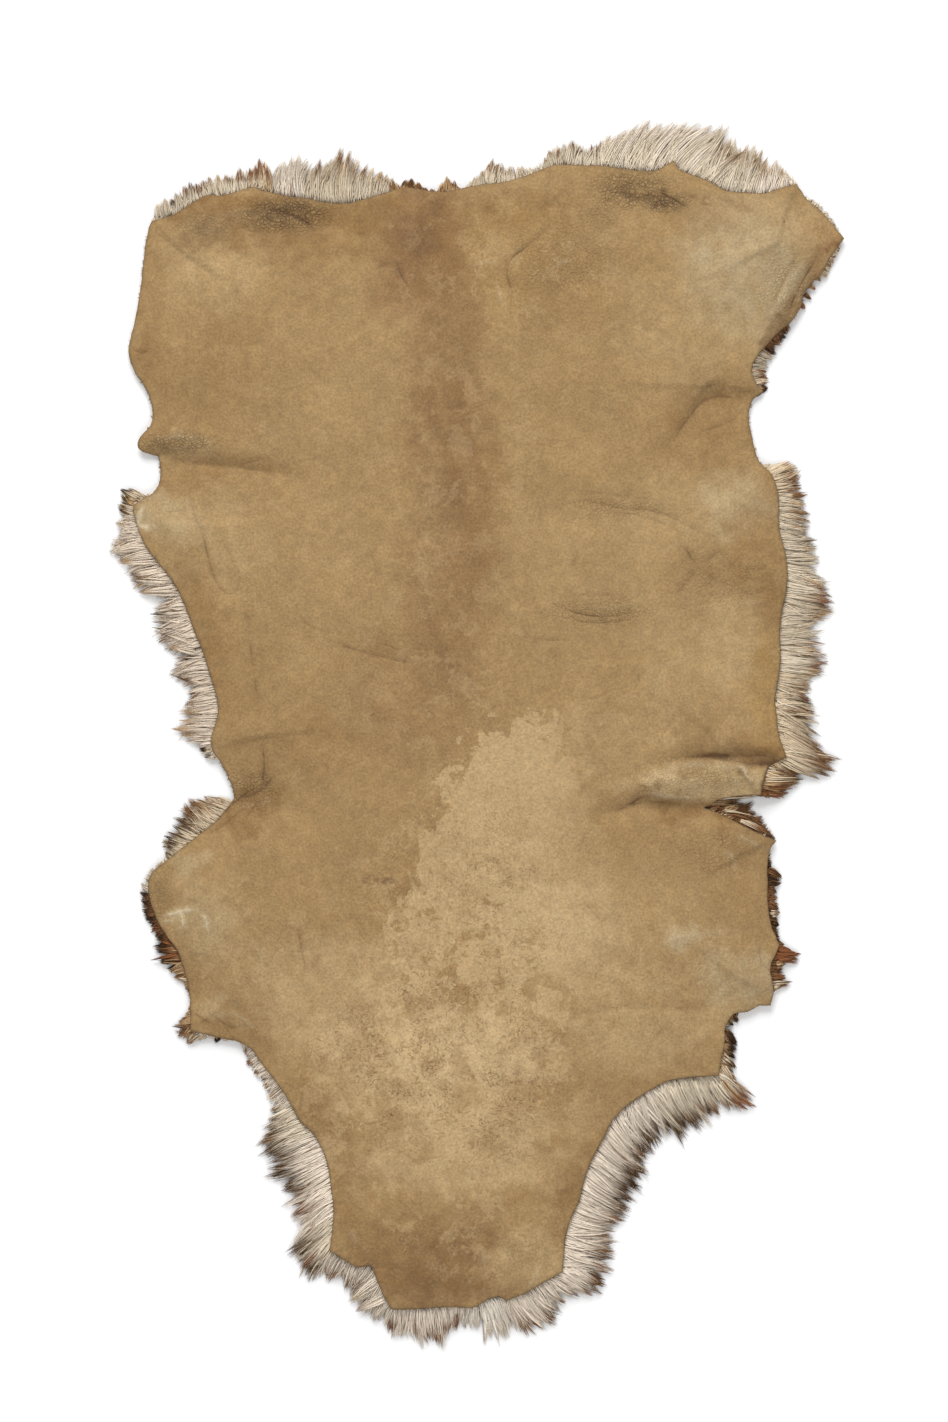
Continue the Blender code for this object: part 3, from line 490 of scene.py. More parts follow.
# Each row is one stain, or a patch of painted light or shade where a comment says so: (across, down, half
# across, half down, turn in degrees, softness of its outline, strength, paint).
STAINS_AND_PAINTED_LIGHT = (
    # Painted light, not a stain: the sheet is raised and lit here.
    (222, 262, 56, 40, -8, 1, 0.62, "light"),
    (215, 232, 30, 14, 0, 0.6, 0.35, "umber"),
    # Painted light, not a stain: the sheet is raised and lit here.
    (745, 268, 62, 66, 24, 1, 0.62, "pale"),
    (792, 226, 34, 22, 50, 0.8, 0.22, "light"),
    # Painted light, not a stain: the sheet is raised and lit here.
    (690, 330, 70, 50, 0, 1, 0.35, "light"),
    (165, 520, 40, 22, 24, 1.2, 0.5, "pale"),
    (146, 520, 5, 12, -14, 0.8, 0.6, "scuff_and_highlight"),
    (215, 540, 50, 46, 10, 1, 0.35, "light"),
    (736, 506, 32, 26, -8, 1.2, 0.62, "pale"),
    (690, 505, 60, 30, 0, 1, 0.3, "light"),
    (740, 652, 34, 54, 0, 1, 0.52, "light"),
    (776, 612, 20, 36, 0, 0.9, 0.45, "brown"),
    (700, 640, 60, 60, 0, 1, 0.35, "light"),
    (620, 560, 110, 60, 0, 1, 0.22, "light"),
    (590, 740, 90, 40, -12, 1, 0.3, "light"),
    # These two rows are painted light, not stains: they lighten the pleat's ridge on its side that faces
    # away from the light.
    (706, 780, 60, 16, 2, 0.6, 0.9, "light"),
    (690, 787, 62, 12, 2, 0.9, 0.95, "straw"),
    (340, 1000, 84, 56, -20, 0.8, 0.38, "straw"),
    (505, 1050, 54, 36, 0, 0.8, 0.8, "straw"),
    (540, 935, 50, 40, 0, 0.9, 0.35, "straw"),
    (428, 1055, 46, 44, 0, 0.8, 0.75, "straw"),
    (590, 925, 38, 52, 0, 0.8, 0.4, "straw"),
    (200, 925, 34, 34, 0, 1, 0.35, "pale"),
    (195, 862, 20, 12, -30, 1, 0.5, "pale"),
    (216, 1008, 12, 14, 0, 0.9, 0.5, "pale"),
    (660, 920, 70, 60, 0, 1, 0.2, "light"),
    (740, 1008, 26, 20, 0, 0.8, 0.4, "light"),
    (600, 1010, 110, 62, 0, 0.9, 0.36, "light"),
    (742, 980, 38, 28, 0, 0.9, 0.45, "pale"),
    (688, 940, 30, 12, -12, 0.7, 0.5, "pale"),
    (650, 1038, 70, 34, 0, 1, 0.42, "light"),
    (450, 1140, 120, 56, 0, 0.7, 0.4, "straw"),
    (400, 1080, 90, 50, 20, 0.7, 0.34, "straw"),
    (196, 890, 40, 30, 0, 1, 0.2, "light"),
    (250, 960, 60, 46, 0, 1, 0.22, "light"),
    (150, 300, 14, 90, 0, 1, 0.24, "brown"),
    (320, 380, 70, 90, 0, 1, 0.12, "light"),
    (426, 236, 44, 56, 4, 0.9, 1, "spine"),
    (452, 300, 34, 40, 0, 0.9, 0.26, "spine"),
    (424, 228, 20, 30, 0, 0.9, 0.58, "umber"),
    # These two rows are painted shade: the dark band under the edge of the upper flap, above the pleat's
    # crease.
    (776, 758, 24, 7, 6, 0.8, 0.95, "umber"),
    (768, 750, 30, 14, 6, 1, 0.55, "brown"),
    # Painted shadow under the pleat's lower lip.
    (650, 797, 12, 4, 10, 0.8, 0.25, "umber"),
    (408, 214, 18, 22, 0, 0.6, 0.5, "spine"),
    (442, 262, 24, 20, 20, 0.6, 0.5, "spine"),
    (396, 258, 18, 14, 0, 0.6, 0.45, "spine"),
    (306, 244, 70, 24, 0, 1, 0.5, "brown"),
    (470, 225, 34, 30, 0, 0.9, 0.3, "brown"),
    (446, 340, 34, 84, 6, 0.9, 0.42, "spine"),
    (448, 442, 40, 74, 0, 0.9, 0.64, "spine"),
    (478, 520, 26, 70, 8, 0.8, 0.34, "spine"),
    (448, 580, 44, 90, 0, 0.8, 0.52, "spine"),
    (420, 700, 70, 66, 0, 0.9, 0.36, "spine"),
    (486, 480, 14, 60, 4, 0.6, 0.25, "brown"),
    (430, 520, 20, 80, 0, 1, 0.14, "light"),
    (276, 210, 30, 9, 8, 0.9, 0.3, "umber"),
    (250, 210, 96, 15, 2, 1, 0.22, "umber"),
    (296, 224, 30, 8, 24, 0.9, 0.2, "umber"),
    (250, 226, 18, 8, -30, 0.7, 0.3, "brown"),
    (356, 212, 64, 16, 0, 0.9, 0.85, "brown"),
    (222, 204, 62, 12, -6, 0.9, 0.95, "brown"),
    (250, 236, 46, 10, 0, 0.9, 0.5, "brown"),
    (530, 206, 46, 20, 0, 0.9, 0.62, "brown"),
    (612, 184, 50, 14, 4, 0.9, 0.16, "brown"),
    (636, 190, 22, 7, 10, 0.7, 0.34, "umber"),
    (655, 200, 26, 6, 30, 0.7, 0.5, "umber"),
    (695, 200, 9, 6, 30, 0.7, 0.5, "umber"),
    (728, 204, 26, 6, 6, 0.7, 0.28, "umber"),
    (700, 222, 46, 12, 6, 0.9, 0.26, "brown"),
    (500, 255, 70, 44, 0, 0.9, 0.2, "ochre"),
    (575, 285, 56, 44, 0, 0.9, 0.26, "brown"),
    (398, 300, 30, 24, 0, 0.9, 0.3, "red"),
    (350, 240, 40, 30, 0, 1, 0.22, "brown"),
    (195, 390, 58, 66, 0, 1, 0.26, "brown"),
    (270, 330, 70, 70, 0, 1, 0.16, "brown"),
    # Painted shade along the crease under the left tongue.
    (265, 474, 66, 14, 2, 0.9, 0.22, "brown"),
    # Painted light that lightens the left tongue's crease where the fold is shaded.
    (176, 446, 44, 8, 2, 0.7, 0.4, "light"),
    (190, 480, 50, 14, 0, 1, 0.35, "brown"),
    (704, 420, 54, 36, -34, 1, 0.45, "brown"),
    (765, 440, 12, 44, -8, 0.8, 0.35, "brown"),
    (300, 560, 90, 80, 0, 1, 0.1, "light"),
    (198, 636, 30, 76, -14, 0.9, 0.5, "brown"),
    (240, 700, 40, 80, -4, 1, 0.2, "brown"),
    (300, 760, 60, 40, 0, 1, 0.1, "brown"),
    (248, 806, 40, 22, -20, 0.9, 0.8, "brown"),
    (320, 742, 40, 32, 0, 1, 0.36, "brown"),
    (340, 860, 110, 90, 0, 1, 0.08, "brown"),
    (380, 886, 11, 8, 0, 0.6, 0.55, "umber"),
    (404, 888, 18, 10, -50, 0.6, 0.35, "brown"),
    (756, 566, 30, 60, -4, 0.9, 0.44, "brown"),
    (705, 580, 50, 26, -14, 0.9, 0.28, "brown"),
    (762, 488, 12, 14, 0, 0.6, 0.3, "brown"),
    (768, 700, 16, 64, 0, 0.8, 0.5, "ochre"),
    (742, 694, 22, 20, 0, 0.8, 0.24, "ochre"),
    # Painted light on the lit top of the pleat's ridge.
    (726, 772, 42, 9, 4, 0.8, 0.55, "light"),
    (640, 852, 76, 46, 8, 1, 0.1, "brown"),
    (735, 880, 38, 60, 0, 1, 0.2, "brown"),
    # Painted shadow below the pleat's lower edge.
    (700, 818, 46, 9, 8, 0.7, 0.75, "brown"),
    (540, 1040, 40, 20, 0, 0.8, 0.2, "brown"),
    (446, 1266, 96, 42, 0, 0.7, 0.68, "spine"),
    (424, 1282, 50, 20, 0, 0.9, 0.3, "umber"),
    (445, 1280, 70, 16, 0, 0.8, 0.4, "brown"),
    (530, 1258, 36, 34, -18, 0.8, 0.66, "light"),
    (372, 1244, 46, 34, 20, 0.8, 0.22, "brown"),
    (352, 1190, 20, 60, -4, 0.8, 0.42, "brown"),
    (310, 1110, 22, 26, -30, 0.9, 0.34, "brown"),
    (360, 1128, 44, 12, -8, 0.7, 0.45, "brown"),
    (574, 1214, 18, 52, 12, 0.8, 0.5, "brown"),
    (604, 1150, 18, 30, 24, 0.9, 0.4, "brown"),
    (556, 1146, 16, 12, 0, 0.7, 0.4, "brown"),
    (575, 1186, 22, 14, 0, 0.7, 0.45, "spine"),
    (480, 1196, 66, 12, 0, 0.7, 0.24, "brown"),
    (250, 1048, 34, 14, 24, 0.9, 0.4, "brown"),
    (214, 1012, 26, 30, 0, 1, 0.28, "brown"),
    (160, 890, 12, 34, 0, 0.9, 0.3, "brown"),
    (184, 958, 18, 32, -14, 0.9, 0.25, "brown"),
    (704, 1054, 24, 18, 0, 0.9, 0.35, "brown"),
    (640, 1085, 34, 12, -14, 0.9, 0.3, "brown"),
    (640, 1008, 90, 6, -3, 0.9, 0.22, "brown"),
    (838, 240, 9, 5, -50, 0.8, 0.6, "red"),
    (824, 262, 7, 34, 34, 0.9, 0.3, "red"),
    (834, 238, 12, 12, 0, 0.9, 0.2, "red"),
    (800, 296, 9, 44, 28, 0.9, 0.55, "brown"),
    (772, 334, 8, 26, 34, 0.9, 0.45, "umber"),
    (140, 350, 8, 30, 0, 0.9, 0.4, "brown"),
    (150, 440, 12, 14, 0, 0.9, 0.3, "brown"),
)

# The rubbed patch low in the middle, clockwise; its upper outline is crisp and its lower one breaks up.
RUBBED = (
    (540, 712), (566, 745), (582, 778), (597, 820), (608, 850), (612, 880), (612, 920), (608, 960),
    (604, 1000), (590, 1060), (560, 1100), (440, 1110), (380, 1060), (384, 1008), (398, 984), (388, 958),
    (392, 928), (406, 905), (420, 880), (414, 850), (428, 826), (442, 800), (456, 770), (466, 741),
    (500, 726), (520, 719),
)
RUBBED_ENDS = 990      # about here, counted down, the patch breaks up
RUBBED_SOFT = (530, 606)  # counted across, the patch fades out between these
RUBBED_SHARE = 0.56    # how far it turns to straw
RUBBED_FADE = 0.12     # and this steeply

MOTTLE_LEAST = 0.14    # the whole face has this much of it

# How the leather's colour varies.
SPOT_WANDER = 9.0     # how far slow waves move the outlines of the stains and painted patches
SPOT_FRAY = 5.0       # and how far short waves do
SPOT_PATCHY = 0.45    # how unevenly each stain and painted patch is laid
MOST_COVER = 0.85      # the creases' painted shade, painted highlights and pale scuffs never hide the leather whole
EDGE_SHADE = 0.26      # share of the edge's tone just inside the cut edge

# The noises of the leather: (scale, detail, roughness, distortion).
LEATHER_NOISE = {
    "wander": (48.0, 9.0, 0.70, 0.5),    # the outline of the rubbed patch wanders by some 15 mm
    "marble": (38.0, 12.0, 0.74, 0.35),  # 5 to 40 mm, where the hide took the tan unevenly
    "speck": (150.0, 5.0, 0.68, 1.2),    # dark specks of 2 to 6 mm that the scraping left
    "vein": (70.0, 3.5, 0.60, 2.4),      # thin squiggles of darker grain, 6 to 15 mm long
    "cluster": (30.0, 2.0, 0.50, 0.0),   # where the squiggles gather
    "nap": (470.0, 2.0, 0.70, 0.0),      # fibres and pores of 2.5 mm, coarser than real so that they show
    "haze": (120.0, 5.0, 0.65, 0.0),     # soft shade of 8 mm
    "rumple": (130.0, 4.0, 0.55, 0.0),   # small folds of 5 mm
}

# Where the face is mottled by thin spots of grain: (across, down, half across, half down, strength).
MOTTLES = (
    (470, 900, 120, 130, 0.6),
    (440, 1070, 150, 130, 1),
    (470, 1220, 110, 70, 0.5),
    (520, 270, 120, 80, 0.32),
    (460, 450, 80, 160, 0.24),
    (440, 640, 80, 130, 0.26),
    (650, 980, 120, 70, 0.3),
    (250, 950, 90, 80, 0.25),
    (650, 720, 110, 60, 0.2),
)

# Where the grain stands up as pebbles: (across, down, half across, half down, strength).
PEBBLES = (
    (285, 214, 56, 20, 0.9),
    (205, 226, 40, 18, 0.35),
    (176, 443, 50, 13, 0.6),
    (632, 190, 48, 24, 0.75),
    (600, 214, 24, 18, 0.4),
    (665, 202, 26, 12, 0.9),
    (560, 262, 60, 40, 0.3),
    (790, 290, 34, 46, 0.35),
    (690, 780, 80, 22, 0.4),
    (600, 612, 60, 18, 0.4),
    (610, 510, 60, 16, 0.35),
    (245, 790, 44, 26, 0.45),
    (720, 580, 60, 40, 0.25),
    (715, 850, 50, 30, 0.3),
    (150, 890, 24, 40, 0.35),
)

# Each row is the hair at one place round the rim:
# (across, down, coat, tip, share of tufts with that tip, share of the length where it starts, bend of
# the tufts).
TONES = (
    (150, 222, "oat", "sand", 0.3, 0.6, 0),
    (165, 204, "oat", "hazel", 0.4, 0.5, 0),
    (175, 199, "grey", "black", 0.35, 0.45, 0),
    (194, 185, "milk", "hazel", 0.6, 0.45, 0.08),
    (222, 176, "milk", "hazel", 0.5, 0.6, 0.08),
    (243, 178, "oat", "hazel", 0.55, 0.5, 0.08),
    (262, 163, "beige", "hazel", 0.7, 0.4, 0),
    (287, 166, "grey", "cream", 0.3, 0.7, 0.18),
    (318, 163, "oat", "hazel", 0.45, 0.65, 0.2),
    (346, 158, "oat", "hazel", 0.6, 0.6, 0.17),
    (375, 176, "oat", "sand", 0.45, 0.6, 0.2),
    (412, 179, "sand", "hazel", 0.85, 0.25, 0),
    (446, 179, "sand", "hazel", 0.85, 0.25, 0),
    (478, 174, "oat", "sand", 0.4, 0.6, 0),
    (496, 164, "oat", "hazel", 0.5, 0.55, 0.05),
    (520, 166, "oat", "sand", 0.4, 0.6, 0.05),
    (550, 155, "oat", "hazel", 0.5, 0.5, 0.05),
    (578, 146, "milk", "dark", 0.6, 0.55, 0.05),
    (597, 146, "milk", "hazel", 0.6, 0.6, 0.08),
    (614, 136, "milk", "cream", 0.3, 0.6, 0.18),
    (645, 126, "milk", "cream", 0.3, 0.6, 0.24),
    (690, 126, "milk", "cream", 0.3, 0.6, 0.26),
    (718, 134, "milk", "sand", 0.3, 0.6, 0.14),
    (735, 144, "milk", "sand", 0.4, 0.55, 0.1),
    (755, 152, "milk", "sand", 0.5, 0.6, 0.04),
    (776, 164, "cream", "sand", 0.55, 0.6, 0.05),
    (790, 174, "cream", "sand", 0.35, 0.6, 0),
    (816, 202, "milk", "sand", 0.4, 0.5, 0),
    (842, 242, "beige", "hazel", 0.6, 0.5, 0),
    (830, 266, "beige", "sand", 0.6, 0.5, 0),
    (782, 342, "hazel", "black", 0.8, 0.4, 0),
    (766, 362, "oat", "sand", 0.3, 0.5, 0),
    (768, 378, "beige", "auburn", 0.8, 0.4, 0),
    (768, 392, "dark", "black", 0.8, 0.2, 0),
    (798, 470, "beige", "sand", 0.6, 0.5, -0.05),
    (804, 488, "beige", "hazel", 0.7, 0.4, -0.05),
    (806, 500, "oat", "sand", 0.3, 0.6, 0),
    (810, 520, "oat", "sand", 0.55, 0.55, 0.05),
    (816, 545, "oat", "beige", 0.3, 0.6, 0.05),
    (822, 572, "milk", "cream", 0.2, 0.6, 0.04),
    (832, 597, "oat", "auburn", 0.5, 0.68, 0),
    (828, 612, "oat", "sand", 0.6, 0.6, 0),
    (818, 634, "oat", "beige", 0.3, 0.6, 0),
    (826, 660, "milk", "auburn", 0.5, 0.66, 0.05),
    (812, 688, "beige", "hazel", 0.4, 0.55, 0.08),
    (814, 712, "beige", "hazel", 0.5, 0.5, 0.08),
    (822, 735, "beige", "dark", 0.5, 0.55, 0.1),
    (832, 762, "beige", "hazel", 0.75, 0.55, 0.1),
    (834, 774, "sand", "hazel", 0.8, 0.45, 0.06),
    (802, 776, "beige", "hazel", 0.7, 0.4, 0),
    (792, 788, "sand", "hazel", 0.8, 0.4, 0),
    (782, 794, "hazel", "auburn", 0.75, 0.45, 0),
    (748, 802, "sand", "hazel", 0.6, 0.3, 0),
    (760, 812, "hazel", "dark", 0.7, 0.3, 0),
    (770, 824, "hazel", "dark", 0.6, 0.4, 0),
    (776, 836, "grey", "dark", 0.5, 0.4, 0),
    (782, 880, "dark", "black", 0.8, 0.2, 0),
    (778, 896, "hazel", "black", 0.6, 0.4, 0),
    (781, 911, "dark", "auburn", 0.7, 0.4, 0),
    (780, 932, "dark", "black", 0.7, 0.3, 0),
    (802, 958, "auburn", "auburn", 0.9, 0.3, 0),
    (786, 970, "hazel", "dark", 0.7, 0.4, 0),
    (788, 984, "hazel", "auburn", 0.7, 0.5, 0),
    (738, 1030, "sand", "black", 0.85, 0.35, 0),
    (736, 1052, "sand", "black", 0.85, 0.4, 0),
    (736, 1072, "sand", "black", 0.75, 0.45, 0.06),
    (752, 1104, "milk", "auburn", 0.87, 0.58, -0.05),
    (728, 1112, "milk", "hazel", 0.77, 0.63, -0.05),
    (706, 1122, "milk", "hazel", 0.95, 0.6, -0.05),
    (688, 1134, "milk", "dark", 0.95, 0.61, -0.05),
    (672, 1140, "cream", "dark", 0.95, 0.55, -0.05),
    (656, 1150, "cream", "dark", 0.92, 0.57, -0.05),
    (640, 1180, "cream", "dark", 0.95, 0.57, -0.05),
    (630, 1206, "cream", "dark", 0.95, 0.57, -0.05),
    (618, 1228, "cream", "hazel", 0.72, 0.65, -0.05),
    (614, 1248, "cream", "hazel", 0.82, 0.63, -0.05),
    (612, 1266, "cream", "hazel", 0.72, 0.65, -0.05),
    (602, 1292, "cream", "dark", 0.92, 0.53, -0.05),
    (580, 1298, "cream", "hazel", 0.55, 0.7, -0.05),
    (560, 1314, "cream", "dark", 0.6, 0.62, -0.05),
    (536, 1322, "cream", "hazel", 0.5, 0.6, -0.05),
    (514, 1334, "cream", "hazel", 0.4, 0.65, -0.05),
    (494, 1344, "white", "beige", 0.35, 0.7, -0.06),
    (474, 1331, "white", "beige", 0.3, 0.7, 0),
    (450, 1336, "cream", "hazel", 0.6, 0.5, 0),
    (432, 1347, "cream", "hazel", 0.75, 0.58, 0),
    (420, 1348, "cream", "hazel", 0.6, 0.62, 0),
    (400, 1338, "cream", "hazel", 0.5, 0.6, 0),
    (376, 1316, "grey", "beige", 0.35, 0.7, -0.05),
    (350, 1294, "grey", "hazel", 0.5, 0.6, -0.05),
    (326, 1282, "grey", "hazel", 0.5, 0.58, -0.05),
    (306, 1276, "milk", "dark", 0.8, 0.55, -0.08),
    (292, 1254, "milk", "dark", 0.7, 0.62, -0.08),
    (296, 1228, "cream", "auburn", 0.65, 0.62, -0.08),
    (290, 1208, "cream", "hazel", 0.7, 0.62, -0.08),
    (282, 1186, "cream", "dark", 0.75, 0.64, -0.08),
    (272, 1172, "cream", "dark", 0.75, 0.64, -0.08),
    (262, 1150, "milk", "dark", 0.75, 0.62, -0.08),
    (262, 1126, "milk", "dark", 0.65, 0.6, -0.05),
    (272, 1100, "cream", "sand", 0.4, 0.6, 0),
    (250, 1072, "cream", "hazel", 0.65, 0.5, 0),
    (205, 1042, "cream", "hazel", 0.6, 0.4, 0),
    (176, 1028, "sand", "hazel", 0.6, 0.5, 0),
    (168, 978, "sand", "hazel", 0.6, 0.4, 0),
    (152, 960, "hazel", "black", 0.8, 0.4, 0),
    (146, 918, "hazel", "black", 0.85, 0.3, 0),
    (142, 884, "grey", "cream", 0.3, 0.5, 0),
    (166, 846, "beige", "dark", 0.5, 0.4, -0.05),
    (178, 818, "beige", "dark", 0.6, 0.45, -0.08),
    (190, 802, "beige", "hazel", 0.6, 0.5, -0.08),
    (216, 803, "beige", "hazel", 0.6, 0.45, 0),
    (203, 754, "cream", "hazel", 0.2, 0.45, 0),
    (176, 731, "pink", "sand", 0.45, 0.6, -0.05),
    (181, 712, "pink", "sand", 0.5, 0.6, -0.06),
    (184, 702, "pink", "hazel", 0.2, 0.6, -0.06),
    (188, 684, "pink", "hazel", 0.2, 0.6, -0.06),
    (172, 674, "pink", "hazel", 0.2, 0.62, -0.06),
    (176, 656, "pink", "hazel", 0.2, 0.58, -0.06),
    (160, 640, "pink", "hazel", 0.2, 0.62, -0.06),
    (152, 628, "pink", "hazel", 0.2, 0.62, -0.06),
    (154, 612, "pink", "hazel", 0.2, 0.62, -0.06),
    (164, 598, "pink", "hazel", 0.2, 0.6, -0.06),
    (136, 582, "pink", "sand", 0.5, 0.6, -0.08),
    (116, 556, "pink", "beige", 0.35, 0.65, -0.1),
    (116, 530, "pink", "beige", 0.3, 0.6, 0),
    (120, 498, "beige", "dark", 0.6, 0.5, 0.05),
    (124, 490, "beige", "black", 0.6, 0.5, 0.05),
)

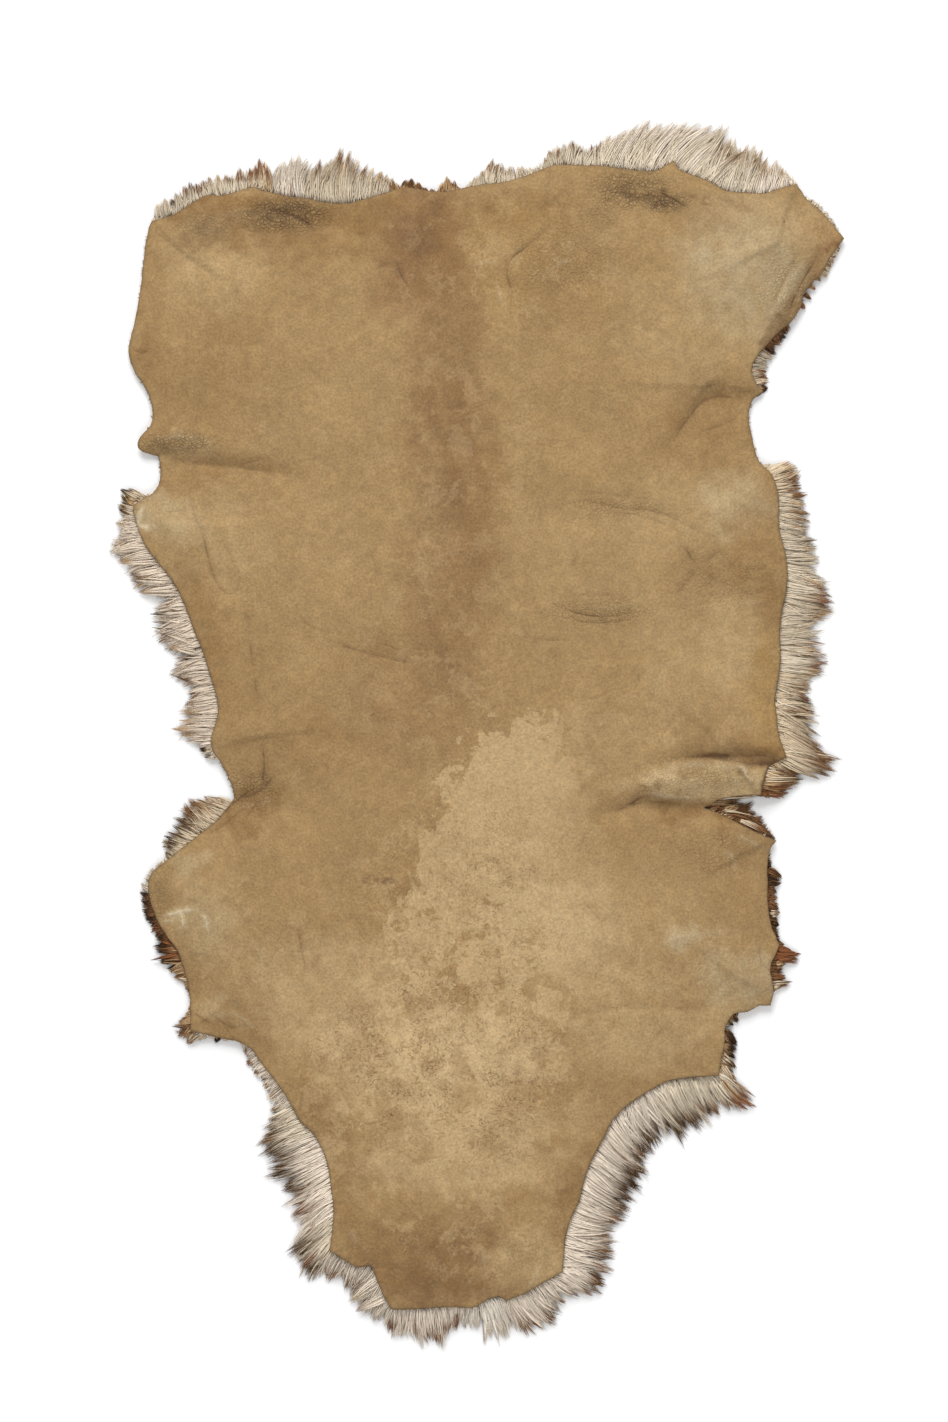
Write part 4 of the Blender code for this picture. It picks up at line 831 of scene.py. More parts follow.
# Tufts that are set one by one. Each row is one tuft: (root across, root down, tip across, tip down, half
# width of its foot, coat, tip, share of the length where the tip tone starts, bend).
TUFTS = (
    (136, 497, 119, 489, 3.2, "beige", "black", 0.45, 0),
    (133, 502, 121, 495, 3, "sand", "dark", 0.45, 0),
    (139, 495, 128, 488, 2.4, "beige", "hazel", 0.5, 0),
    (133, 509, 121, 507, 3, "pink", "dark", 0.6, 0),
    (138, 530, 114, 522, 5, "pink", "beige", 0.6, 0),
    (142, 545, 108, 552, 5, "pink", "cream", 0.6, 0),
    (150, 558, 116, 561, 5, "pink", "sand", 0.6, 0),
    (156, 570, 128, 574, 3, "pink", "dark", 0.7, 0),
    (164, 582, 128, 580, 3, "pink", "dark", 0.72, 0),
    (172, 590, 138, 592, 5, "pink", "sand", 0.7, 0),
    (184, 607, 158, 605, 1.2, "pink", "dark", 0.4, 0.35),
    (178, 613, 148, 614, 1.3, "pink", "black", 0.5, 0.1),
    (182, 622, 149, 622, 1.3, "pink", "dark", 0.45, 0),
    (186, 630, 150, 627, 1, "pink", "dark", 0.35, 0),
    (186, 641, 153, 631, 1.4, "pink", "dark", 0.45, 0),
    (192, 650, 166, 645, 4, "pink", "sand", 0.6, 0),
    (201, 657, 171, 658, 1.2, "pink", "auburn", 0.55, 0),
    (204, 656, 178, 664, 1.1, "pink", "black", 0.3, -0.2),
    (204, 668, 170, 671, 1.2, "pink", "hazel", 0.5, 0.12),
    (206, 682, 167, 673, 1, "pink", "dark", 0.4, 0.22),
    (212, 700, 184, 704, 3, "pink", "hazel", 0.6, 0.08),
    (214, 710, 184, 714, 3, "pink", "sand", 0.6, 0.05),
    (211, 722, 178, 720, 3, "pink", "sand", 0.6, 0),
    (209, 728, 170, 729, 4, "pink", "sand", 0.55, 0),
    (209, 742, 198, 741, 3, "beige", "black", 0.4, 0),
    (209, 749, 198, 750, 3, "beige", "black", 0.35, 0),
    (213, 756, 204, 757, 3, "grey", "dark", 0.5, 0),
    (204, 830, 183, 803, 4, "beige", "hazel", 0.4, 0),
    (212, 822, 187, 798, 4, "beige", "hazel", 0.45, 0),
    (218, 818, 196, 800, 4, "beige", "sand", 0.4, 0),
    (226, 811, 207, 803, 2, "beige", "dark", 0.35, 0),
    (230, 806, 208, 804, 1, "hazel", "black", 0.2, 0),
    (228, 808, 212, 802, 1.4, "beige", "hazel", 0.4, 0),
    (200, 833, 176, 818, 3, "beige", "dark", 0.5, 0),
    (196, 838, 171, 825, 3, "beige", "black", 0.55, 0),
    (193, 841, 166, 832, 3, "beige", "dark", 0.5, 0),
    (189, 846, 163, 836, 2.6, "beige", "black", 0.5, 0),
    (185, 849, 164, 841, 2.6, "beige", "black", 0.45, 0),
    (180, 853, 166, 846, 2.6, "beige", "black", 0.5, 0),
    (174, 857, 166, 854, 3, "grey", "grey", 0.5, 0),
    (150, 888, 140, 884, 3.5, "grey", "grey", 0.5, 0),
    (150, 898, 139, 892, 2.6, "hazel", "black", 0.25, 0),
    (151, 906, 140, 901, 2.6, "dark", "black", 0.3, 0),
    (153, 914, 141, 910, 2.6, "hazel", "black", 0.3, 0),
    (157, 921, 144, 918, 2.4, "dark", "black", 0.3, 0),
    (162, 928, 150, 926, 2.4, "auburn", "black", 0.4, 0),
    (166, 935, 154, 933, 2.4, "hazel", "black", 0.4, 0),
    (169, 942, 157, 939, 2.4, "auburn", "dark", 0.45, 0),
    (177, 950, 161, 950, 3, "sand", "auburn", 0.4, 0),
    (180, 955, 149, 961, 1.8, "auburn", "black", 0.55, 0),
    (181, 962, 160, 962, 3, "sand", "hazel", 0.55, 0),
    (184, 970, 168, 970, 3.5, "sand", "dark", 0.6, 0),
    (187, 979, 176, 978, 3, "beige", "hazel", 0.6, 0),
    (192, 1028, 170, 1027, 1.4, "hazel", "black", 0.5, 0),
    (193, 1032, 174, 1033, 1.3, "hazel", "dark", 0.5, 0),
    (192, 1026, 180, 1026, 1.4, "hazel", "dark", 0.5, 0),
    (196, 1035, 186, 1045, 4, "beige", "hazel", 0.6, 0),
    (204, 1035, 198, 1040, 3, "beige", "sand", 0.5, 0),
    (218, 1036, 215, 1044, 3, "dark", "black", 0.2, 0),
    (708, 804, 744, 800, 2.6, "sand", "hazel", 0.4, 0.1),
    (704, 806, 733, 801, 2.2, "hazel", "sand", 0.4, 0.1),
    (711, 805, 751, 807, 3, "sand", "dark", 0.3, 0.1),
    (714, 807, 759, 815, 3, "hazel", "dark", 0.4, 0.12),
    (721, 810, 766, 823, 3, "dark", "hazel", 0.4, 0.12),
    (728, 813, 763, 820, 2.4, "beige", "hazel", 0.4, 0.12),
    (733, 815, 771, 832, 3, "hazel", "dark", 0.4, 0.12),
    (745, 822, 774, 838, 2.6, "beige", "hazel", 0.3, 0.1),
    (755, 827, 777, 840, 2.6, "hazel", "dark", 0.4, 0.1),
    (718, 799, 748, 797, 1.6, "sand", "hazel", 0.5, 0),
    (728, 798, 760, 796, 1.2, "grey", "beige", 0.5, 0),
    (704, 810, 716, 812, 1.6, "white", "white", 0.5, 0),
    (768, 770, 796, 774, 3, "beige", "hazel", 0.45, 0),
    (767, 775, 800, 778, 2.6, "sand", "dark", 0.5, 0),
    (766, 779, 806, 779, 2.6, "beige", "dark", 0.55, 0),
    (766, 784, 801, 784, 2.8, "sand", "hazel", 0.45, 0),
    (765, 789, 794, 789, 2.4, "hazel", "auburn", 0.5, 0),
    (765, 792, 784, 792, 1.8, "auburn", "dark", 0.5, 0),
    (768, 792, 770, 799, 1, "dark", "dark", 0.5, 0),
    (774, 764, 797, 771, 4, "sand", "hazel", 0.25, 0),
    (778, 761, 802, 769, 3, "sand", "beige", 0.4, 0),
    (787, 745, 830, 764, 4, "beige", "hazel", 0.48, 0),
    (788, 752, 839, 772, 3.5, "beige", "hazel", 0.54, -0.08),
    (789, 757, 832, 777, 3.5, "beige", "dark", 0.62, -0.08),
    (786, 762, 821, 780, 3.5, "beige", "dark", 0.78, 0),
    (786, 737, 830, 762, 3.5, "beige", "dark", 0.57, 0),
    (783, 730, 828, 756, 3.5, "beige", "hazel", 0.5, 0),
    (780, 721, 825, 749, 3.5, "beige", "hazel", 0.6, 0),
    (779, 712, 822, 737, 3, "beige", "dark", 0.7, 0),
    (779, 706, 813, 723, 2, "beige", "dark", 0.3, 0),
    (779, 700, 817, 714, 3, "milk", "hazel", 0.5, 0),
    (778, 690, 813, 704, 3, "milk", "dark", 0.6, 0),
    (780, 680, 813, 686, 3, "milk", "sand", 0.6, 0),
    (781, 666, 825, 672, 3.5, "milk", "sand", 0.6, 0),
    (782, 659, 832, 664, 3.5, "milk", "auburn", 0.68, 0),
    (782, 650, 822, 650, 3.5, "milk", "sand", 0.6, 0),
    (782, 641, 827, 644, 3, "oat", "auburn", 0.7, 0),
    (783, 618, 806, 618, 2, "oat", "dark", 0.4, 0),
    (785, 612, 826, 614, 3, "oat", "hazel", 0.65, 0),
    (786, 603, 832, 607, 3.5, "oat", "hazel", 0.6, 0),
    (788, 593, 836, 603, 4, "oat", "auburn", 0.55, 0.05),
    (789, 584, 834, 597, 4, "milk", "hazel", 0.6, 0.08),
    (789, 575, 828, 589, 4, "milk", "sand", 0.55, 0.08),
    (788, 558, 821, 557, 4, "milk", "beige", 0.6, 0),
    (786, 547, 817, 549, 3, "milk", "sand", 0.6, 0),
    (784, 539, 819, 540, 2.5, "milk", "dark", 0.5, 0),
    (782, 526, 807, 531, 3.5, "milk", "sand", 0.5, 0),
    (782, 516, 811, 521, 3.5, "beige", "hazel", 0.5, 0),
    (781, 508, 812, 514, 3, "beige", "hazel", 0.5, 0),
    (780, 500, 808, 505, 3, "milk", "sand", 0.5, 0),
    (777, 489, 803, 488, 2.6, "beige", "hazel", 0.45, 0),
    (776, 484, 803, 483, 2.6, "beige", "hazel", 0.5, 0),
    (772, 477, 797, 473, 1.6, "beige", "sand", 0.5, 0),
    (773, 480, 801, 478, 1.8, "sand", "hazel", 0.55, 0),
    (806, 206, 811, 202, 2.4, "oat", "sand", 0.4, 0),
    (815, 215, 820, 210, 2.4, "beige", "hazel", 0.5, 0),
    (824, 224, 829, 220, 2.4, "beige", "hazel", 0.5, 0),
    (832, 231, 836, 228, 2, "beige", "hazel", 0.5, 0),
    (836, 246, 840, 249, 2, "sand", "hazel", 0.4, 0),
    (832, 253, 836, 257, 2, "sand", "auburn", 0.5, 0),
    (827, 261, 832, 266, 2, "sand", "hazel", 0.4, 0),
    (822, 268, 827, 273, 2, "sand", "auburn", 0.5, 0),
    (817, 276, 822, 281, 2, "sand", "hazel", 0.5, 0),
    (811, 285, 816, 289, 2, "sand", "auburn", 0.5, 0),
    (806, 294, 812, 299, 2.4, "hazel", "dark", 0.5, 0),
    (801, 303, 806, 308, 2.2, "hazel", "auburn", 0.5, 0),
    (770, 872, 783, 879, 4, "hazel", "dark", 0.3, 0.1),
    (769, 880, 780, 885, 3.5, "dark", "black", 0.3, 0.1),
    (769, 889, 778, 893, 3, "hazel", "dark", 0.5, 0.1),
    (770, 905, 780, 910, 3, "hazel", "dark", 0.4, 0),
    (772, 914, 781, 913, 3, "beige", "hazel", 0.4, 0),
    (774, 924, 780, 926, 3, "dark", "black", 0.2, 0),
    (780, 954, 802, 955, 3, "auburn", "auburn", 0.5, 0),
    (780, 959, 796, 958, 3, "auburn", "hazel", 0.5, 0),
    (778, 965, 787, 963, 3, "sand", "hazel", 0.6, 0),
    (774, 977, 786, 977, 3, "hazel", "auburn", 0.5, 0),
    (774, 984, 794, 982, 2.2, "beige", "dark", 0.45, 0),
    (775, 988, 783, 986, 3, "beige", "hazel", 0.5, 0),
    (733, 1017, 739, 1023, 2.5, "hazel", "black", 0.3, 0),
    (727, 1033, 738, 1047, 3, "dark", "black", 0.2, 0.1),
    (725, 1042, 737, 1052, 3, "dark", "black", 0.3, 0.1),
    (724, 1050, 737, 1060, 3, "sand", "black", 0.3, 0.1),
    (724, 1058, 737, 1070, 3, "beige", "dark", 0.4, 0.1),
    (724, 1070, 736, 1090, 4, "beige", "hazel", 0.5, 0.05),
    (726, 1083, 758, 1108, 3.2, "sand", "auburn", 0.45, -0.34),
    (720, 1085, 749, 1111, 3.6, "milk", "auburn", 0.5, -0.26),
    (714, 1083, 731, 1112, 4, "milk", "hazel", 0.65, -0.12),
    (704, 1084, 720, 1117, 3.5, "milk", "hazel", 0.6, -0.12),
    (697, 1084, 713, 1118, 3.5, "milk", "dark", 0.6, -0.12),
    (682, 1087, 704, 1124, 3.5, "milk", "dark", 0.64, -0.12),
    (672, 1090, 694, 1126, 3, "milk", "hazel", 0.68, -0.12),
    (662, 1091, 690, 1131, 3, "milk", "dark", 0.6, -0.12),
    (652, 1094, 689, 1137, 3.5, "milk", "dark", 0.7, -0.12),
    (642, 1101, 674, 1136, 3.5, "cream", "dark", 0.78, -0.12),
    (632, 1108, 664, 1146, 4, "cream", "dark", 0.7, -0.12),
    (622, 1117, 656, 1156, 4, "cream", "dark", 0.62, -0.12),
    (616, 1126, 648, 1160, 4, "cream", "hazel", 0.58, -0.12),
    (608, 1138, 634, 1162, 4, "cream", "dark", 0.7, -0.12),
    (600, 1150, 637, 1178, 4, "cream", "dark", 0.6, -0.12),
    (597, 1157, 642, 1191, 4, "cream", "black", 0.56, -0.12),
    (592, 1168, 633, 1195, 4, "cream", "dark", 0.58, -0.12),
    (588, 1178, 632, 1203, 4, "cream", "black", 0.58, -0.12),
    (585, 1187, 632, 1212, 4, "cream", "dark", 0.6, -0.12),
    (583, 1196, 630, 1219, 4, "cream", "dark", 0.66, -0.12),
    (579, 1205, 624, 1222, 4, "cream", "hazel", 0.7, -0.12),
    (574, 1213, 613, 1226, 3, "cream", "dark", 0.76, -0.12),
    (571, 1221, 617, 1233, 2, "cream", "black", 0.8, -0.12),
    (568, 1233, 614, 1250, 4, "cream", "hazel", 0.72, -0.12),
    (566, 1241, 616, 1260, 4, "cream", "dark", 0.6, -0.12),
    (565, 1251, 615, 1272, 4, "cream", "hazel", 0.68, -0.12),
    (565, 1262, 606, 1288, 4, "cream", "hazel", 0.6, -0.12),
    (564, 1268, 604, 1296, 4, "cream", "dark", 0.58, -0.12),
    (560, 1273, 594, 1297, 4, "cream", "hazel", 0.6, -0.12),
    (553, 1279, 580, 1299, 4, "cream", "dark", 0.66, -0.12),
    (545, 1283, 566, 1305, 4, "cream", "hazel", 0.7, -0.12),
    (300, 1116, 270, 1128, 3.5, "milk", "dark", 0.65, 0),
    (303, 1122, 261, 1139, 4, "milk", "dark", 0.6, 0),
    (307, 1129, 257, 1144, 3.5, "milk", "hazel", 0.65, 0),
    (312, 1136, 263, 1151, 4, "cream", "dark", 0.58, 0),
    (317, 1143, 276, 1159, 3.5, "cream", "dark", 0.68, 0),
    (321, 1151, 271, 1171, 4, "cream", "dark", 0.58, 0),
    (323, 1157, 270, 1178, 4, "cream", "black", 0.56, 0),
    (326, 1166, 282, 1189, 4, "cream", "dark", 0.6, 0),
    (328, 1173, 292, 1193, 4, "cream", "dark", 0.66, 0),
    (329, 1187, 289, 1219, 4, "cream", "auburn", 0.62, 0),
    (330, 1195, 300, 1217, 4, "cream", "hazel", 0.6, 0),
    (331, 1207, 302, 1232, 4, "cream", "beige", 0.6, 0),
    (331, 1217, 283, 1254, 2.4, "milk", "dark", 0.5, 0.15),
    (330, 1225, 287, 1260, 2.4, "milk", "dark", 0.5, 0.1),
    (330, 1232, 298, 1256, 4, "milk", "dark", 0.5, 0),
    (329, 1240, 299, 1270, 4, "milk", "auburn", 0.52, 0),
    (329, 1246, 304, 1278, 4, "milk", "dark", 0.52, 0),
    (333, 1252, 312, 1272, 3.5, "cream", "hazel", 0.5, 0),
    (345, 1261, 332, 1280, 4, "cream", "hazel", 0.7, 0),
    (354, 1267, 344, 1290, 4, "cream", "dark", 0.55, 0),
    (366, 1269, 350, 1292, 4, "cream", "hazel", 0.65, 0),
    (376, 1284, 348, 1304, 5, "cream", "beige", 0.6, 0),
    (382, 1298, 355, 1313, 5, "cream", "hazel", 0.75, 0),
    (552, 165, 549, 149, 3, "oat", "hazel", 0.55, 0),
    (560, 164, 557, 148, 3, "oat", "hazel", 0.6, 0),
    (567, 163, 573, 139, 3.5, "milk", "hazel", 0.68, 0),
    (575, 165, 581, 144, 2.5, "milk", "dark", 0.45, 0),
    (586, 166, 596, 144, 3, "milk", "hazel", 0.55, 0),
    (592, 166, 600, 144, 3, "milk", "dark", 0.5, 0),
    (599, 166, 616, 135, 4, "milk", "cream", 0.6, 0.16),
    (605, 167, 628, 127, 5, "milk", "cream", 0.6, 0.18),
    (612, 168, 640, 122, 5, "milk", "cream", 0.6, 0.2),
    (620, 168, 651, 119, 5, "cream", "cream", 0.6, 0.2),
    (628, 168, 640, 138, 2, "milk", "hazel", 0.45, 0.2),
    (630, 168, 664, 121, 5, "milk", "cream", 0.6, 0.22),
    (644, 169, 658, 138, 2, "milk", "sand", 0.4, 0.2),
    (642, 168, 677, 120, 5.5, "milk", "cream", 0.6, 0.22),
    (652, 168, 690, 120, 5.5, "cream", "cream", 0.6, 0.24),
    (662, 166, 703, 121, 5.5, "milk", "cream", 0.6, 0.24),
    (671, 163, 714, 124, 5.5, "cream", "cream", 0.6, 0.24),
    (678, 167, 722, 128, 5.5, "milk", "cream", 0.6, 0.24),
    (685, 172, 724, 137, 5.5, "cream", "milk", 0.6, 0.24),
    (692, 176, 731, 144, 5, "milk", "sand", 0.7, 0.22),
    (699, 180, 738, 149, 4.5, "milk", "hazel", 0.66, 0.2),
    (706, 183, 746, 149, 3.5, "milk", "hazel", 0.62, 0.18),
    (712, 185, 752, 152, 3.5, "milk", "sand", 0.6, 0.16),
    (717, 187, 724, 164, 2.2, "milk", "dark", 0.25, 0.25),
    (713, 186, 720, 166, 1.6, "sand", "hazel", 0.25, 0.25),
    (723, 189, 735, 164, 3.5, "milk", "sand", 0.35, 0.15),
    (731, 192, 756, 156, 3.5, "cream", "sand", 0.6, 0.14),
    (739, 192, 744, 158, 3.5, "cream", "sand", 0.4, 0.1),
    (743, 193, 762, 152, 1.4, "cream", "dark", 0.6, 0.12),
    (749, 193, 751, 164, 3, "cream", "sand", 0.4, 0.1),
    (757, 193, 765, 161, 4, "cream", "sand", 0.6, 0.08),
    (764, 192, 771, 164, 4, "cream", "beige", 0.6, 0.06),
    (770, 190, 777, 158, 4, "cream", "sand", 0.75, 0.05),
    (776, 189, 784, 167, 3, "cream", "sand", 0.6, 0),
    (784, 187, 788, 172, 4, "cream", "beige", 0.6, 0),
    (792, 184, 790, 177, 4, "cream", "beige", 0.6, 0),
    (159, 217, 157, 202, 4, "grey", "beige", 0.6, 0),
    (167, 214, 164, 197, 4, "oat", "beige", 0.6, 0),
    (174, 212, 171, 198, 3, "oat", "black", 0.5, 0),
    (181, 209, 178, 193, 4, "oat", "beige", 0.6, 0),
    (188, 205, 183, 185, 3.5, "oat", "hazel", 0.55, 0),
    (194, 202, 189, 180, 3.5, "oat", "dark", 0.52, 0.08),
    (199, 199, 195, 182, 3, "oat", "dark", 0.55, 0.08),
    (206, 196, 202, 179, 3.5, "oat", "hazel", 0.7, 0.08),
    (213, 195, 208, 175, 3.5, "oat", "hazel", 0.7, 0.08),
    (221, 195, 217, 173, 3.5, "oat", "sand", 0.7, 0.08),
    (229, 193, 225, 174, 3.5, "milk", "hazel", 0.62, 0.08),
    (236, 191, 232, 176, 3, "milk", "dark", 0.6, 0.08),
    (242, 190, 239, 176, 3, "oat", "hazel", 0.6, 0.08),
    (247, 189, 244, 177, 2.5, "oat", "dark", 0.5, 0.08),
    (253, 188, 249, 166, 3.5, "beige", "auburn", 0.5, 0),
    (262, 189, 258, 157, 4, "beige", "hazel", 0.42, 0),
    (267, 190, 262, 162, 4, "sand", "auburn", 0.45, 0),
    (271, 191, 269, 172, 3.5, "sand", "auburn", 0.5, 0),
    (280, 193, 277, 168, 4, "oat", "beige", 0.6, 0),
    (287, 195, 284, 158, 5, "cream", "grey", 0.6, 0.12),
    (295, 196, 292, 154, 5, "cream", "grey", 0.6, 0.12),
    (301, 197, 299, 152, 5, "cream", "grey", 0.6, 0.12),
    (311, 199, 311, 167, 5, "oat", "beige", 0.6, 0.12),
    (319, 200, 320, 157, 4, "oat", "hazel", 0.66, 0.18),
    (325, 201, 327, 164, 4, "oat", "beige", 0.6, 0.18),
    (332, 201, 334, 167, 4, "beige", "sand", 0.68, 0.17),
    (339, 201, 344, 160, 4, "beige", "sand", 0.6, 0.17),
    (346, 201, 350, 149, 4, "beige", "hazel", 0.62, 0.17),
    (352, 200, 355, 166, 4, "oat", "beige", 0.6, 0.17),
    (360, 199, 362, 167, 4, "oat", "beige", 0.6, 0.2),
    (368, 198, 373, 165, 4, "oat", "beige", 0.6, 0.22),
    (376, 196, 382, 170, 4, "oat", "sand", 0.65, 0.24),
    (383, 194, 389, 178, 4, "oat", "hazel", 0.65, 0.24),
    (404, 189, 406, 179, 4, "sand", "dark", 0.35, 0),
    (411, 189, 412, 177, 3.5, "hazel", "dark", 0.35, 0),
    (419, 190, 418, 181, 3.5, "sand", "hazel", 0.35, 0),
)

# Layers of the rim's hair, from the floor up: (share of the hairs, hairs in a tuft, half width of a
# tuft's foot, how far its hairs draw together, shortest and longest share of the reach, deepest root,
# lowest and highest root as a share of the rim's height, lowest and highest tip, share of the tip tone,
# hair half width, its thickness as a share of its width).
LAYERS = (
    (0.17, 3, 3.0, 0.35, 0.74, 1.02, 10.0, 0.50, 0.82, 0.5, 2.0, 0.80, 1.60, 0.22),
    (0.36, 24, 4.6, 0.84, 0.92, 1.15, 10.0, 0.40, 0.78, 0.8, 3.0, 1.00, 0.44, 0.19),
    (0.27, 16, 3.8, 0.76, 0.68, 1.06, 9.0, 0.62, 0.92, 1.6, 4.2, 1.00, 0.42, 0.19),
    (0.20, 9, 2.8, 0.60, 0.40, 0.92, 6.0, 0.90, 1.00, 3.2, 6.5, 1.00, 0.38, 0.20),
)
HAIRS_PER_WIDTH = 6.6  # hairs in a set tuft for each millimetre of its half width
SET_TUFT_HAIR = (0.40, 0.20)  # half width of a hair in a set tuft, and its thickness
HAIR_COUNT = 21500     # hairs round the rim, drawn coarser than real hair so that they show
LOOSE_HAIRS = 0.05     # share that strays from its tuft
BROWN_HAIRS = 0.08     # share of thin brown hairs anywhere in the coat
TINTED_LEAST = 0.52    # least share of a dark tuft's hairs that have its tip tone
TINTED_MORE = 0.47     # and how much more of them have it where most tufts are dark
LEAST_REACH = 2.0      # shorter hair is tucked under the edge
TUCKED_COUNT = 1500    # hairs under the bare stretches of rim
TUCKED_WIDTH = 0.8     # half width of one
UNDER_COUNT = 7500     # hairs over the coat's underside
UNDER_LENGTH = 32.0
UNDER_WIDTH = 2.0      # half width of a lock on the underside
CURL_POWER = 2.3       # above 1 a tuft draws together and curls mostly near its tip
LEAN_BY_BEND = 1.2     # a bent tuft also leans the way it bends
FALL_POWER = 1.7       # above 1 the hair keeps its height before it falls to the floor
CREASE_RISE = 1.5      # how much the creases stand out
# strength of the creases' painted shade, and of their painted highlights and pale scuffs below nought
CREASE_SHADE_GAIN = 0.8
CREASE_SHADE_LINE = 1.7      # half width of the painted shade line in a crease's middle, in millimetres
RAGGED = 0.06          # how unevenly long the tufts are
TUFT_LEAN = (0.18, 0.10)  # how far tufts lean, in radians: neighbours together, and each by itself
TUFT_BOW = (0.16, 0.16)   # how far they bow, the same
BOW_BY_BEND = 1.8      # a bent tuft bows this much more
TUFT_SHADE = (0.92, 1.08)
HAIR_SHADE = (0.90, 1.09)
TIP_SHADE = (0.8, 1.2)
HAIR_SIZE = (0.80, 1.04)  # a hair's share of its tuft's length
HAIR_WIDTH = (0.75, 1.2)  # a hair's share of its layer's width
FINE_HAIR = 0.65       # the same for a stray or a brown hair
START_SPREAD = 0.07    # how unevenly the tip tone starts
TONE_BLEND = 0.22      # share of the length over which it comes in
HAIR_SINK = 0.9        # roots stay this far under the leather
HAIR_LOWEST = 0.5      # and this far over the floor

# Sections of a hair: (share of its length, share of its half width)
HAIR_SECTIONS = (
    (0.00, 1.55),
    (0.30, 1.45),
    (0.58, 1.02),
    (0.82, 0.54),
)


def linear(paint):
    """Linear light of a paint by its name."""
    text = PAINTS[paint].lstrip("#")
    shares = np.array([int(text[k:k + 2], 16) / 255.0 for k in (0, 2, 4)])
    return np.where(shares <= 0.04045, shares / 12.92, ((shares + 0.055) / 1.055) ** 2.4)


def on_floor(across, down):
    """Pattern squares to millimetres about the middle, rump at +Y."""
    return np.array(((across - MIDDLE[0]) * SQUARE, (MIDDLE[1] - down) * SQUARE))


def ease(t):
    """Soft step from 0 to 1."""
    t = np.clip(t, 0.0, 1.0)
    return t * t * (3.0 - 2.0 * t)


def curve_between(before, start, end, after, t):
    """Point of the smooth curve from start to end."""
    return 0.5 * (2.0 * start + (end - before) * t + (2.0 * before - 5.0 * start + 4.0 * end - after) * t * t
                  + (3.0 * start - before - 3.0 * end + after) * t ** 3)


def cut_edge(pitch):
    """Points of the cut edge and the reach of the hair at each."""
    places = [on_floor(row[0], row[1]) for row in CUT_EDGE]
    reaches = [np.array((row[3], -row[4])) * SQUARE for row in CUT_EDGE]
    count = len(CUT_EDGE)
    edge, hair = [], []
    for i in range(count):
        start, end = places[i], places[(i + 1) % count]
        before, after = places[i - 1], places[(i + 2) % count]
        if CUT_EDGE[i][2] == CORNER:
            before = start - (end - start)
        if CUT_EDGE[(i + 1) % count][2] == CORNER:
            after = end + (end - start)
        steps = max(1, round(np.linalg.norm(end - start) / pitch))
        for step in range(steps):
            t = step / steps
            edge.append(curve_between(before, start, end, after, t))
            hair.append(reaches[i] * (1.0 - t) + reaches[(i + 1) % count] * t)
    return np.array(edge), np.array(hair)


def outward_of(ring):
    """Outward direction at each point of the clockwise ring."""
    run = np.roll(ring, -1, axis=0) - np.roll(ring, 1, axis=0)
    out = np.column_stack((-run[:, 1], run[:, 0]))
    return out / np.linalg.norm(out, axis=1)[:, None]


def distance_to_line(where, points, closed=False):
    """Distance from each place to a line, and the number of the nearest stretch with its share."""
    ends = list(zip(points, points[1:])) + ([(points[-1], points[0])] if closed else [])
    best = np.full(len(where), np.inf)
    stretch = np.zeros(len(where), dtype=int)
    share = np.zeros(len(where))
    for k, (start, end) in enumerate(ends):
        run = end - start
        t = np.clip((where - start) @ run / max(run @ run, TINY), 0.0, 1.0)
        gap = np.linalg.norm(where - (start + t[:, None] * run), axis=1)
        nearer = gap < best
        best[nearer], stretch[nearer], share[nearer] = gap[nearer], k, t[nearer]
    return best, stretch, share


def near_line(where, points, reach):
    """Numbers of the places within reach of a line, with their distance to it."""
    points = np.array(points)
    low, high = points.min(axis=0) - reach, points.max(axis=0) + reach
    found = np.nonzero(((where > low) & (where < high)).all(axis=1))[0]
    if not len(found):
        return found, np.zeros(0)
    return found, distance_to_line(where[found], points)[0]


def to_nearer_end(where, points):
    """Distance from each place to the nearer end of a line."""
    return np.minimum(*(np.linalg.norm(where - point, axis=1) for point in (points[0], points[-1])))


def inside(where, ring):
    """True for each place inside the closed ring."""
    odd = np.zeros(len(where), dtype=bool)
    for start, end in zip(ring, np.roll(ring, -1, axis=0)):
        spans = (start[1] > where[:, 1]) != (end[1] > where[:, 1])
        rise = end[1] - start[1]
        rise = rise if abs(rise) > TINY else TINY
        crossing = start[0] + (where[:, 1] - start[1]) * (end[0] - start[0]) / rise
        odd ^= spans & (where[:, 0] < crossing)
    return odd


def waves(where, rows):
    """Sum of slow waves, about -1 to 1."""
    total = np.zeros(len(where))
    for length, bearing, shift, share in rows:
        heading = np.array((math.cos(math.radians(bearing)), math.sin(math.radians(bearing))))
        total += share * np.sin(where @ heading * math.tau / length + math.radians(shift))
    return total


def uneven(where, size, seed, octaves=3):
    """Cloudy unevenness, about -1 to 1, with its largest clouds this size."""
    rng = np.random.default_rng(seed)
    total = np.zeros(len(where))
    weight = 0.0
    for octave in range(octaves):
        for _ in range(5):
            bearing, shift = rng.uniform(0.0, math.tau, 2)
            length = size * rng.uniform(0.75, 1.35) / 2.0 ** octave
            heading = np.array((math.cos(bearing), math.sin(bearing)))
            total += np.sin(where @ heading * math.tau / length + shift) / 1.6 ** octave
        weight += 2.2 / 1.6 ** octave
    return total / weight


